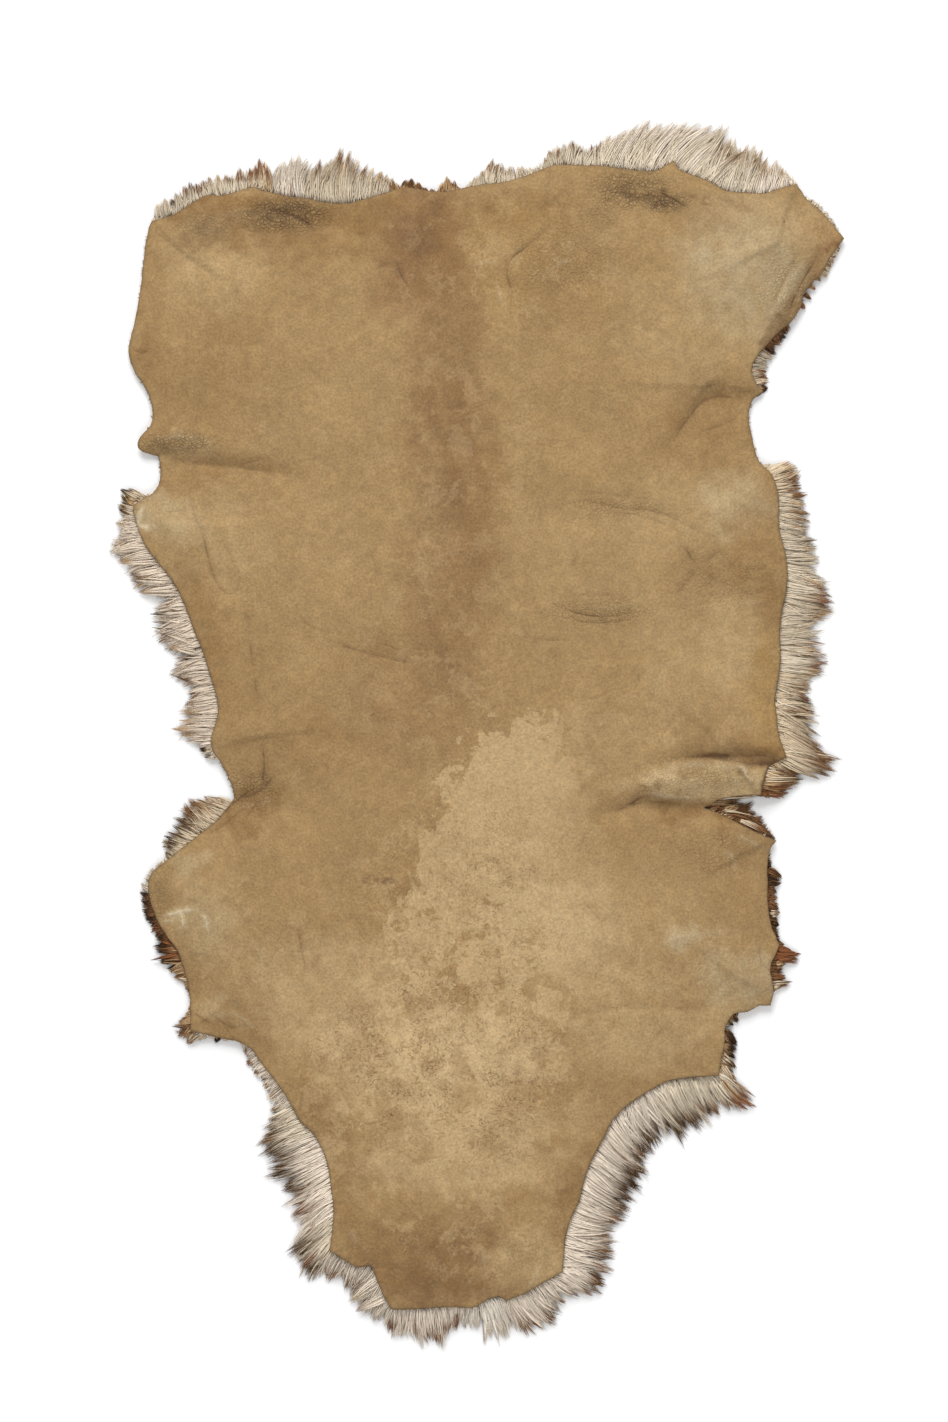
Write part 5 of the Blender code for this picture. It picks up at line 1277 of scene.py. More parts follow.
def underside(where, edge, hair):
    """Height of the leather's underside at each place."""
    reach = np.linalg.norm(hair, axis=1)
    rim = RIM_BARE + (RIM_HAIRY - RIM_BARE) * ease(reach / RIM_FILL)
    rim = (np.roll(rim, 1) + 2.0 * rim + np.roll(rim, -1)) / 4.0
    away, stretch, share = distance_to_line(where, edge, closed=True)
    rim_here = rim[stretch] * (1.0 - share) + rim[(stretch + 1) % len(rim)] * share
    height = rim_here + (LOFT - rim_here) * (1.0 - np.exp(-((away / RIM_RISE) ** RISE_POWER)))
    height += SWELL * waves(where, WAVES) * ease(away / SWELL_START)
    for line, rise, half_width in FOLDS:
        points = [on_floor(*spot) for spot in line]
        off = distance_to_line(where, points)[0]
        fade = FOLD_END + (1.0 - FOLD_END) * ease(to_nearer_end(where, points) / FOLD_RUN_IN)
        height += rise * fade * np.exp(-((off / half_width) ** 2))
    return np.maximum(height, LOWEST)


def smooth_line(line, pitch):
    """Points at an even pitch along a smooth curve through the stations of a table row."""
    stations = [on_floor(*spot) for spot in line]
    stations = [2.0 * stations[0] - stations[1]] + stations + [2.0 * stations[-1] - stations[-2]]
    out = []
    for before, start, end, after in zip(stations, stations[1:], stations[2:], stations[3:]):
        steps = max(1, round(np.linalg.norm(end - start) / pitch))
        out += [curve_between(before, start, end, after, k / steps) for k in range(steps)]
    return np.array(out + [stations[-2]])


def crease_reach(line, where_on):
    """Fades a crease out towards its two ends; where_on is the distance to the nearer end."""
    length = sum(np.hypot(*(on_floor(*b) - on_floor(*a))) for a, b in zip(line, line[1:]))
    return ease(where_on / (0.35 * length) + 0.15)


def crease_marks(where):
    """Height and painted shade that the fine creases add at each place, and how near the middle of a crease
    it is.
    """
    height, crease_shade, shade_line_share = np.zeros(len(where)), np.zeros(len(where)), np.zeros(len(where))
    for number, (line, rise, half_width, painted_shade) in enumerate(CREASES):
        points = smooth_line(line, 3.0)
        found, off = near_line(where, points, 4.0 * half_width)
        if not len(found):
            continue
        here = where[found]
        wander = 1.0 + 0.35 * uneven(here, 26.0, 500 + number, 2)
        fade = crease_reach(line, to_nearer_end(here, points)) * wander
        height[found] += CREASE_RISE * rise * fade * np.exp(-((off / half_width) ** 2))
        # Painted shade along the crease; below nought it paints pale highlights along ridges and, in a few
        # rows, pale scuffs.
        crease_shade[found] += CREASE_SHADE_GAIN * painted_shade * fade * np.exp(-((off / (half_width * 0.9)) ** 2))
        # The painted shade line: a thin dark line down the middle of a crease.
        thin = 2.0 * max(painted_shade, 0.0) * fade * np.clip(1.0 - off / CREASE_SHADE_LINE, 0.0, 1.0)
        shade_line_share[found] = np.maximum(shade_line_share[found], np.clip(thin, 0.0, 1.0))
    return height, crease_shade, shade_line_share


def hex_grid(low, high, pitch):
    """Points of an even grid of triangles over a box."""
    row_pitch = pitch * math.sqrt(0.75)
    rows = []
    for j in range(int((high[1] - low[1]) / row_pitch) + 1):
        across = np.arange(low[0] + (pitch / 2.0 if j % 2 else 0.0), high[0], pitch)
        rows.append(np.column_stack((across, np.full(len(across), low[1] + j * row_pitch))))
    return np.vstack(rows)


def clear_of(places, others, gap):
    """The places that keep a gap from all the others."""
    tree = KDTree(len(others))
    for i, spot in enumerate(others):
        tree.insert((spot[0], spot[1], 0.0), i)
    tree.balance()
    keep = [tree.find((x, y, 0.0))[2] > gap for x, y in places]
    return places[np.array(keep, dtype=bool)]


def thinned(places, cell):
    """One place for each cell of a fine grid."""
    _, first = np.unique(np.round(places / cell).astype(int), axis=0, return_index=True)
    return places[np.sort(first)]


def triangles_over(ring, inner):
    """Triangles that fill the clockwise ring and use every inner point, facing up."""
    spots = [Vector(p) for p in np.vstack((ring, inner))]
    count = len(ring)
    found = delaunay_2d_cdt(spots, [(i, (i + 1) % count) for i in range(count)], [], 1, 1e-6, True)
    names = np.array([origin[0] for origin in found[3]])
    faces = names[np.array(found[2])]
    plan = np.vstack((ring, inner))
    centres = plan[faces].mean(axis=1)
    doubtful = (faces < count).all(axis=1)
    keep = np.ones(len(faces), dtype=bool)
    keep[doubtful] = inside(centres[doubtful], ring)
    faces = faces[keep]
    a, b, c = plan[faces[:, 0]], plan[faces[:, 1]], plan[faces[:, 2]]
    turn = (b[:, 0] - a[:, 0]) * (c[:, 1] - a[:, 1]) - (b[:, 1] - a[:, 1]) * (c[:, 0] - a[:, 0])
    faces[turn < 0] = faces[turn < 0][:, ::-1]
    return faces


def next_ring(shape, ring, places):
    """Draws a closed ring of edges out to new places."""
    edges = [shape.edges.get((ring[i - 1], ring[i])) for i in range(len(ring))]
    grown = bmesh.ops.extrude_edge_only(shape, edges=edges)["geom"]
    number = {vertex: i for i, vertex in enumerate(ring)}
    new = [None] * len(ring)
    for vertex in grown:
        if isinstance(vertex, bmesh.types.BMVert):
            others = [edge.other_vert(vertex) for edge in vertex.link_edges]
            old = next(other for other in others if other in number)
            new[number[old]] = vertex
            vertex.co = Vector(places[number[old]]) * MM
    return new


def closed_sheet(name, top, top_faces, foot, foot_faces, rings):
    """Closed piece: a face, a rim drawn down through the rings, and a foot whose rim is the last ring."""
    shape = bmesh.new()
    count = len(rings[0])
    upper = [shape.verts.new(Vector(p) * MM) for p in top]
    for face in top_faces:
        shape.faces.new([upper[k] for k in face])
    ring = upper[:count]
    for places in rings:
        ring = next_ring(shape, ring, places)
    lower = ring + [shape.verts.new(Vector(p) * MM) for p in foot[count:]]
    for a, b, c in foot_faces:
        shape.faces.new((lower[a], lower[c], lower[b]))
    bmesh.ops.recalc_face_normals(shape, faces=shape.faces)
    mesh = bpy.data.meshes.new(name)
    shape.to_mesh(mesh)
    shape.free()
    return finished(name, mesh)


def finished(name, mesh):
    """Object of a finished mesh, smooth, at the origin."""
    mesh.polygons.foreach_set("use_smooth", np.ones(len(mesh.polygons), dtype=bool))
    piece = bpy.data.objects.new(name, mesh)
    bpy.context.scene.collection.objects.link(piece)
    return piece


def paint_points(piece, name, values):
    """Keeps a colour or a number for each point of the piece."""
    kind = "FLOAT_COLOR" if values.ndim == 2 else "FLOAT"
    layer = piece.data.attributes.new(name, kind, "POINT")
    if values.ndim == 2:
        values = np.column_stack((values, np.ones(len(values))))
    layer.data.foreach_set("color" if kind == "FLOAT_COLOR" else "value", values.astype(np.float32).ravel())


def points_of(piece):
    """Points of the piece in millimetres."""
    flat = np.empty(len(piece.data.vertices) * 3)
    piece.data.vertices.foreach_get("co", flat)
    return flat.reshape(-1, 3) / MM


def spot_share(where, across, down, half_across, half_down, turn):
    """Distance from the middle of an oval spot, where 1 is its outline."""
    off = where - on_floor(across, down)
    angle = math.radians(turn)
    along_it = off[:, 0] * math.cos(angle) - off[:, 1] * math.sin(angle)
    over_it = off[:, 0] * math.sin(angle) + off[:, 1] * math.cos(angle)
    return np.hypot(along_it / (half_across * SQUARE), over_it / (half_down * SQUARE))


def leather_tone(where, crease_shade):
    """Colour of the leather at each place, before its fine grain, with the painted light and shade of some
    spots and of the creases.
    """
    tone = np.tile(linear("tan"), (len(where), 1))
    shift = np.column_stack((uneven(where, 70.0, 11), uneven(where, 70.0, 12))) * SPOT_WANDER
    shift += np.column_stack((uneven(where, 18.0, 13), uneven(where, 18.0, 14))) * SPOT_FRAY
    moved = where + shift
    patchy = 1.0 + SPOT_PATCHY * uneven(where, 30.0, 15, 4)
    # Stains, and the patches of painted light and shade listed among them.
    for across, down, half_across, half_down, turn, softness, strength, paint in STAINS_AND_PAINTED_LIGHT:
        off = spot_share(moved, across, down, half_across, half_down, turn)
        share = ease((1.0 + softness * 0.5 - off) / softness) * np.clip(strength * patchy, 0.0, 1.0)
        tone += (linear(paint) - tone) * share[:, None]
    tone *= (1.0 + 0.07 * uneven(where, 60.0, 21) + 0.06 * uneven(where, 20.0, 22, 4))[:, None]
    # Painted shade along the creases, then painted highlights and pale scuffs where that column is below
    # nought.
    tone += (linear("umber") - tone) * np.clip(crease_shade, 0.0, MOST_COVER)[:, None]
    tone += (linear("scuff_and_highlight") - tone) * np.clip(-0.7 * crease_shade, 0.0, MOST_COVER)[:, None]
    return tone


def patch_depth(where):
    """Distance in from the outline of the rubbed patch; below nought outside it."""
    ring = np.array([on_floor(*spot) for spot in RUBBED])
    away = np.clip(distance_to_line(where, ring, closed=True)[0], 0.0, 40.0)
    depth = np.where(inside(where, ring), away, -away)
    down = MIDDLE[1] - where[:, 1] / SQUARE
    return np.minimum(depth, (RUBBED_ENDS - down) * RUBBED_FADE)


def spots_field(where, rows):
    """Highest strength of the soft oval spots at each place."""
    field = np.zeros(len(where))
    for across, down, half_across, half_down, strength in rows:
        off = spot_share(where, across, down, half_across, half_down, 0.0)
        field = np.maximum(field, strength * ease(1.35 - off))
    return field


def make_leather(edge, hair):
    """The leather: a fine face with creases, a rounded cut edge, and a plain underside on the coat."""
    ring = cut_edge(EDGE_PITCH)[0]
    out = outward_of(ring)
    nick = uneven(ring, 9.0, 31, 2) * 0.25
    ring = ring + out * nick[:, None]
    creases = []
    for line, _, half_width, _ in CREASES:
        middle = smooth_line(line, CREASE_PITCH)
        run = np.gradient(middle, axis=0)
        aside = np.column_stack((-run[:, 1], run[:, 0])) / np.linalg.norm(run, axis=1)[:, None]
        creases += [middle, middle + aside * half_width * 0.8, middle - aside * half_width * 0.8]
    creases = thinned(np.vstack(creases), 1.2)
    creases = creases[inside(creases, ring)]
    creases = clear_of(creases, ring, 1.9)
    grid = hex_grid(ring.min(axis=0), ring.max(axis=0), TOP_PITCH)
    grid = grid[inside(grid, ring)]
    grid = clear_of(grid, np.vstack((ring, creases)), 1.75)
    inner = np.vstack((creases, grid))
    top_ring = ring - out * TOP_INSET
    plan = np.vstack((top_ring, inner))
    face_height = underside(plan, edge, hair) + SHEET
    marks = crease_marks(plan)[0]
    face_height += marks + 0.18 * uneven(plan, 22.0, 41) + 0.35 * uneven(plan, 80.0, 42, 2)
    top = np.column_stack((plan, face_height))
    foot_ring = ring - out * FOOT_INSET
    foot_inner = hex_grid(ring.min(axis=0), ring.max(axis=0), FOOT_PITCH)
    foot_inner = foot_inner[inside(foot_inner, ring)]
    foot_inner = clear_of(foot_inner, ring, 4.0)
    foot_plan = np.vstack((foot_ring, foot_inner))
    foot = np.column_stack((foot_plan, underside(foot_plan, edge, hair)))
    at_rim = face_height[:len(ring)]
    rings = [np.column_stack((ring, at_rim - 0.35 * SHEET)), np.column_stack((ring, at_rim - 0.72 * SHEET)),
             foot[:len(ring)]]
    piece = closed_sheet("leather", top, triangles_over(top_ring, inner), foot,
                         triangles_over(foot_ring, foot_inner), rings)
    where = points_of(piece)[:, :2]
    # The creases' painted shade and highlights, and the painted dark line in each crease's middle.
    _, crease_shade, shade_line_share = crease_marks(where)
    tone = leather_tone(where, crease_shade)
    rim_share = np.zeros(len(where))
    count = len(ring)
    first_wall = len(top)
    rim_share[:count] = EDGE_SHADE
    rim_share[first_wall:first_wall + 2 * count] = 1.0
    tone += (linear("edge") - tone) * rim_share[:, None]
    paint_points(piece, "tone", tone)
    paint_points(piece, "rubbed", patch_depth(where))
    soft_side = ease((where[:, 0] / SQUARE + MIDDLE[0] - RUBBED_SOFT[0]) / (RUBBED_SOFT[1] - RUBBED_SOFT[0]))
    paint_points(piece, "rubbed_share", RUBBED_SHARE * (1.0 - 0.75 * soft_side))
    # The painted shade line in the middle of each crease, laid on again in the material.
    paint_points(piece, "crease", shade_line_share)
    paint_points(piece, "mottle", MOTTLE_LEAST + (1.0 - MOTTLE_LEAST) * spots_field(where, MOTTLES))
    paint_points(piece, "pebble", spots_field(where, PEBBLES))
    return piece


def make_coat(edge, hair):
    """The body of the coat: a low lumpy slab that fills the space under the leather."""
    out = outward_of(edge)
    ring = edge - out * COAT_INSET
    inner = hex_grid(ring.min(axis=0), ring.max(axis=0), COAT_PITCH)
    inner = inner[inside(inner, ring)]
    inner = clear_of(inner, ring, 9.0)
    plan = np.vstack((ring, inner))
    faces = triangles_over(ring, inner)
    height = underside(plan, edge, hair)
    top = np.column_stack((plan, height - COAT_GAP))
    low = 1.3 + 1.6 * np.clip(waves(plan, HOLLOWS), 0.0, 1.0) + 0.5 * uneven(plan, 30.0, 51, 2)
    low[:len(ring)] = 0.9
    foot = np.column_stack((plan, low))
    middle = np.column_stack((ring + out * 1.5, (top[:len(ring), 2] + foot[:len(ring), 2]) / 2.0))
    piece = closed_sheet("coat_body", top, faces, foot, faces, [middle, foot[:len(ring)]])
    where = points_of(piece)
    tone = np.tile(linear("beige"), (len(where), 1))
    tone *= (0.80 + 0.12 * uneven(where[:, :2], 34.0, 52))[:, None]
    paint_points(piece, "tone", tone)
    return piece


def make_hairs(name, roots, tips, curls, widths, tones, thickness=0.75):
    """Many closed, tapering, three-sided hairs in one mesh.

    A hair starts straight and reaches its tip by its curl, which acts late. It has a colour for each
    section and one for its tip.
    """
    count = len(roots)
    run = tips - roots
    level = run[:, :2] / np.maximum(np.linalg.norm(run[:, :2], axis=1), 1e-6)[:, None]
    side = np.column_stack((level[:, 1], -level[:, 0], np.zeros(count)))
    up = np.array((0.0, 0.0, 1.0))
    sections = len(HAIR_SECTIONS)
    size = sections * 3 + 1
    points = np.empty((count, size, 3))
    colours = np.empty((count, size, 3))
    for section, (share, width_share) in enumerate(HAIR_SECTIONS):
        middle = np.empty((count, 3))
        middle[:, :2] = roots[:, :2] + (run[:, :2] - curls) * share + curls * share ** CURL_POWER
        middle[:, 2] = roots[:, 2] + run[:, 2] * share ** FALL_POWER
        for corner in range(3):
            angle = math.radians(90.0 + 120.0 * corner)
            flat = math.sin(angle) * np.broadcast_to(thickness, count)
            reach = side * math.cos(angle) + up * flat[:, None]
            points[:, section * 3 + corner] = middle + reach * (widths * width_share)[:, None]
            colours[:, section * 3 + corner] = tones[:, section]
    points[:, -1] = tips
    colours[:, -1] = tones[:, -1]
    points[:, :, 2] = np.maximum(points[:, :, 2], 0.05)
    pattern = [(0, 1, 2)]
    for base in range(0, size - 4, 3):
        for k in range(3):
            n = (k + 1) % 3
            pattern += [(base + k, base + 3 + k, base + 3 + n), (base + k, base + 3 + n, base + n)]
    pattern += [(size - 4 + k, size - 1, size - 4 + (k + 1) % 3) for k in range(3)]
    faces = (np.array(pattern)[None] + size * np.arange(count)[:, None, None]).reshape(-1, 3)
    mesh = bpy.data.meshes.new(name)
    mesh.vertices.add(count * size)
    mesh.vertices.foreach_set("co", (points * MM).ravel())
    mesh.loops.add(faces.size)
    mesh.loops.foreach_set("vertex_index", faces.ravel().astype(np.int32))
    mesh.polygons.add(len(faces))
    mesh.polygons.foreach_set("loop_start", np.arange(0, faces.size, 3, dtype=np.int32))
    mesh.update(calc_edges=True)
    mesh.validate()
    piece = finished(name, mesh)
    paint_points(piece, "tone", colours.reshape(-1, 3))
    return piece


def along_ring(values, at):
    """Values of the ring at places between its points."""
    low = np.floor(at).astype(int)
    share = (at - low)
    if values.ndim == 2:
        share = share[:, None]
    count = len(values)
    return values[low % count] * (1.0 - share) + values[(low + 1) % count] * share


def turned(vectors, angles):
    """Level vectors turned by their angles."""
    c, s = np.cos(angles), np.sin(angles)
    return np.column_stack((vectors[:, 0] * c - vectors[:, 1] * s, vectors[:, 0] * s + vectors[:, 1] * c))


def nearest_rows(places):
    """Number of the row of TONES nearest to each place."""
    spots = np.array([on_floor(row[0], row[1]) for row in TONES])
    return np.array([np.argmin(np.hypot(*(spots - place).T)) for place in places])


def rim_hairs(edge, hair):
    """Every hair round the rim, tuft by tuft, as a table of columns."""
    rng = np.random.default_rng(2024)
    ring, reach = cut_edge(EDGE_PITCH)
    out = outward_of(ring)
    length = np.linalg.norm(reach, axis=1)
    runs = np.linalg.norm(np.roll(ring, -1, axis=0) - ring, axis=1)
    weight = np.where(length > LEAST_REACH, runs * np.clip(length, 8.0, 40.0) ** 0.6, 0.0)
    reckoned = np.concatenate(([0.0], np.cumsum(weight)))
    coats = np.array([linear(row[2]) for row in TONES])
    tip_tones = np.array([linear(row[3]) for row in TONES])
    facts = np.array([row[4:] for row in TONES])
    parts = []
    for layer in LAYERS:
        share, per_tuft, half_foot, gather, shortest, longest, deepest = layer[:7]
        root_low, root_high, tip_low, tip_high, tip_share, half_width, thickness = layer[7:]
        tufts = int(HAIR_COUNT * share / per_tuft)
        even = (np.arange(tufts) + rng.uniform(0.15, 0.85, tufts)) / tufts * reckoned[-1]
        station = np.interp(even, reckoned, np.arange(len(reckoned)))
        foot = along_ring(ring, station)
        ragged = 1.0 + RAGGED * uneven(foot, 26.0, 61, 2)
        size = rng.uniform(shortest, longest, tufts) * ragged
        row = nearest_rows(foot + along_ring(reach, station) * 0.85 + rng.normal(0.0, 3.0, (tufts, 2)))
        lean = TUFT_LEAN[0] * uneven(foot, 46.0, 62, 2) + rng.normal(0.0, TUFT_LEAN[1], tufts)
        lean -= LEAN_BY_BEND * facts[row, 2]
        vector = turned(along_ring(reach, station) * size[:, None], lean)
        tinted = rng.random(tufts) < facts[row, 0] * tip_share
        bow = BOW_BY_BEND * facts[row, 2] + TUFT_BOW[0] * uneven(foot, 60.0, 63, 2)
        bow += rng.normal(0.0, TUFT_BOW[1], tufts)
        shade = rng.uniform(*TUFT_SHADE, tufts)
        end_height = rng.uniform(tip_low, tip_high, tufts)
        of = np.repeat(np.arange(tufts), per_tuft)
        number = len(of)
        aside = rng.uniform(-1.0, 1.0, number) * half_foot
        at = station[of] + aside / EDGE_PITCH
        base = along_ring(ring, at)
        straying = rng.random(number) < LOOSE_HAIRS
        draw = np.where(straying, gather * 0.35, gather)
        brown = (rng.random(number) < BROWN_HAIRS) & (half_width < 1.0)
        size_of = rng.uniform(*HAIR_SIZE, number) + straying * rng.uniform(0.0, 0.18, number)
        level = vector[of] * size_of[:, None]
        drawn = (foot[of] - base) * draw[:, None]
        bend = bow[of] + rng.normal(0.0, 0.03, number)
        curl = drawn + np.column_stack((level[:, 1], -level[:, 0])) * bend[:, None]
        tip = base + level + drawn + rng.normal(0.0, 0.5, (number, 2))
        depth = rng.uniform(0.8, deepest, number)
        root = base - along_ring(out, at) * depth[:, None]
        parts.append({
            "station": at % len(ring), "root": root, "tip": tip,
            "root_share": rng.uniform(root_low, root_high, number),
            "tip_height": np.clip(end_height[of] + rng.normal(0.0, 0.5, number), 0.3, None),
            "curl": curl,
            "width": (half_width * rng.uniform(*HAIR_WIDTH, number)
                      * np.where(straying | brown, FINE_HAIR, 1.0)),
            "coat": coats[row[of]] * (shade[of] * rng.uniform(*HAIR_SHADE, number))[:, None],
            "tint": (np.where(brown[:, None], linear("hazel"), tip_tones[row[of]])
                     * rng.uniform(*TIP_SHADE, number)[:, None]),
            "tinted": brown | (rng.random(number)
                               < np.where(tinted[of], TINTED_LEAST + TINTED_MORE * facts[row[of], 0], 0.03)),
            "start": np.where(brown, rng.uniform(0.05, 0.6, number),
                              (facts[row[of], 1] + rng.normal(0.0, START_SPREAD, number))
                              / (size[of] * size_of)),
            "thickness": np.full(number, thickness),
        })
    table = {key: np.concatenate([part[key] for part in parts]) for key in parts[0]}
    limit = underside(table["root"], edge, hair) - HAIR_SINK
    table["root_height"] = np.maximum(limit * table["root_share"], HAIR_LOWEST)
    return table, ring, length


def set_tufts(edge, hair):
    """The tufts of TUFTS, as a table of the same columns as the rim's hair."""
    rng = np.random.default_rng(909)
    rows = np.array([row[:5] + row[7:] for row in TUFTS])
    count = np.ceil(HAIRS_PER_WIDTH * rows[:, 4]).astype(int)
    of = np.repeat(np.arange(len(TUFTS)), count)
    number = len(of)
    foot, end = (np.column_stack(on_floor(rows[:, k], rows[:, k + 1])) for k in (0, 2))
    vector = end - foot
    across = np.column_stack((vector[:, 1], -vector[:, 0])) / np.linalg.norm(vector, axis=1)[:, None]
    aside = rng.uniform(-1.0, 1.0, number) * rows[of, 4]
    depth = rng.uniform(0.0, 0.16, number)
    root = foot[of] + across[of] * aside[:, None] - vector[of] * depth[:, None]
    spread = rng.uniform(0.08, 0.30, number)
    tip = foot[of] + vector[of] * (1.02 - 0.24 * rng.random(number) ** 1.6)[:, None]
    tip += across[of] * (aside * spread)[:, None] + rng.normal(0.0, 0.4, (number, 2))
    drawn = -across[of] * (aside * (1.0 - spread))[:, None]
    bend = rows[of, 6] + rng.normal(0.0, 0.05, number)
    level = rng.uniform(0.35, 1.0, number)
    return {
        "root": root, "tip": tip,
        "curl": drawn + np.column_stack((vector[of, 1], -vector[of, 0])) * bend[:, None],
        "root_height": np.maximum((underside(root, edge, hair) - HAIR_SINK) * level, HAIR_LOWEST),
        "tip_height": 0.6 + 3.2 * level + rng.normal(0.0, 0.3, number),
        "width": SET_TUFT_HAIR[0] * rng.uniform(*HAIR_WIDTH, number),
        "coat": np.array([linear(row[5]) for row in TUFTS])[of] * rng.uniform(0.90, 1.10, number)[:, None],
        "tint": np.array([linear(row[6]) for row in TUFTS])[of] * rng.uniform(0.75, 1.25, number)[:, None],
        "tinted": rng.random(number) < 0.92,
        "start": rows[of, 5] + rng.normal(0.0, START_SPREAD, number),
        "thickness": np.full(number, SET_TUFT_HAIR[1]),
    }


def tone_stops(table, chosen):
    """Colours along each chosen hair, from its root to its tip."""
    stops = []
    sections = [share for share, _ in HAIR_SECTIONS] + [1.0]
    for place in sections:
        mix = ease((place - table["start"][chosen] + 0.04) / TONE_BLEND) * table["tinted"][chosen]
        # Painted light: each hair is lighter towards its root, against the shade that falls under the
        # leather's rim.
        root_painted_light = 1.14 - 0.14 * min(place / 0.3, 1.0)
        coat = table["coat"][chosen] * root_painted_light
        stops.append(coat + (table["tint"][chosen] - coat) * mix[:, None])
    return np.stack(stops, axis=1)


def make_rim_hair(table, name, chosen):
    """One piece of the rim's hair."""
    root = np.column_stack((table["root"], table["root_height"]))[chosen]
    tip = np.column_stack((table["tip"], table["tip_height"]))[chosen]
    return make_hairs(name, root, tip, table["curl"][chosen], table["width"][chosen],
                      tone_stops(table, chosen), table["thickness"][chosen])


def make_tucked_hair(edge, hair, ring, length):
    """Short hair that fills the space under the bare stretches of rim."""
    rng = np.random.default_rng(77)
    bare = np.nonzero(length <= LEAST_REACH + 6.0)[0]
    at = rng.choice(bare, TUCKED_COUNT) + rng.uniform(0.0, 1.0, TUCKED_COUNT)
    out = along_ring(outward_of(ring), at)
    base = along_ring(ring, at)
    root = base - out * rng.uniform(6.0, 12.0, TUCKED_COUNT)[:, None]
    astray = turned(out, rng.normal(0.0, 0.4, TUCKED_COUNT))
    tip = base - astray * rng.uniform(0.3, 2.4, TUCKED_COUNT)[:, None]
    limit = underside(root, edge, hair) - HAIR_SINK
    rim_limit = underside(tip, edge, hair) - 1.0
    share = rng.uniform(0.0, 1.0, TUCKED_COUNT)
    roots = np.column_stack((root, np.maximum(limit * (0.1 + 0.8 * share), 0.6)))
    tips = np.column_stack((tip, np.maximum(rim_limit * share * 0.9, 0.3)))
    coat = linear("beige") * rng.uniform(0.6, 1.0, TUCKED_COUNT)[:, None]
    tones = np.stack([coat * 0.8, coat, coat, coat, coat * 0.8], axis=1)
    curls = np.zeros((TUCKED_COUNT, 2))
    return make_hairs("tucked_hair", roots, tips, curls, np.full(TUCKED_COUNT, TUCKED_WIDTH), tones)


def make_under_hair(edge):
    """Locks combed over the coat's underside, which lies on the floor."""
    rng = np.random.default_rng(404)
    ring = edge - outward_of(edge) * 9.0
    low, high = ring.min(axis=0), ring.max(axis=0)
    spots = rng.uniform(low, high, (UNDER_COUNT * 3, 2))
    spots = spots[inside(spots, ring)][:UNDER_COUNT]
    number = len(spots)
    away, stretch, _ = distance_to_line(spots, edge, closed=True)
    outward = outward_of(edge)[stretch]
    near_rim = ease(1.0 - away / 90.0)[:, None]
    heading = outward * near_rim + np.array((0.0, -1.0)) * (1.0 - near_rim)
    heading /= np.maximum(np.linalg.norm(heading, axis=1), 1e-6)[:, None]
    swirl = 0.5 * uneven(spots, 120.0, 71, 2) + rng.normal(0.0, 0.22, number)
    heading = turned(heading, swirl)
    size = np.minimum(UNDER_LENGTH * rng.uniform(0.7, 1.2, number), away + 2.0)
    tips = spots + heading * size[:, None]
    roots = np.column_stack((spots, rng.uniform(1.4, 2.6, number)))
    tips = np.column_stack((tips, rng.uniform(0.3, 0.9, number)))
    coat = np.where(rng.random((number, 1)) < 0.3, linear("beige"), linear("cream"))
    coat = coat * (0.92 + 0.1 * uneven(spots, 50.0, 72, 2) + rng.normal(0.0, 0.05, number))[:, None]
    tinted = rng.random(number) < 0.35 + 0.2 * uneven(spots, 160.0, 73, 2)
    tip_tone = np.where(tinted[:, None], linear("hazel"), coat * 0.92)
    tones = np.stack([coat * 0.85, coat, coat, coat * 0.6 + tip_tone * 0.4, tip_tone], axis=1)
    bow = rng.normal(0.0, 0.10, number) * size
    curls = np.column_stack((heading[:, 1], -heading[:, 0])) * bow[:, None]
    return make_hairs("under_hair", roots, tips, curls, UNDER_WIDTH * rng.uniform(0.7, 1.2, number), tones)


def add_node(tree, kind, settings=(), links=()):
    """Adds a shader node; settings are (name or input, value) pairs, links (input, output socket) pairs."""
    node = tree.nodes.new("ShaderNode" + kind)
    for name, value in settings:
        if isinstance(name, str) and hasattr(node, name):
            setattr(node, name, value)
        else:
            node.inputs[name].default_value = value
    for name, socket in links:
        tree.links.new(socket, node.inputs[name])
    return node


def material_base(name, **sockets):
    """Material with only its surface shader, and the numbers that are the same all over it."""
    material = bpy.data.materials.new(name)
    material.use_nodes = True
    tree = material.node_tree
    shader = tree.nodes["Principled BSDF"]
    for socket, value in sockets.items():
        shader.inputs[socket.replace("_", " ")].default_value = value
    return material, tree, shader


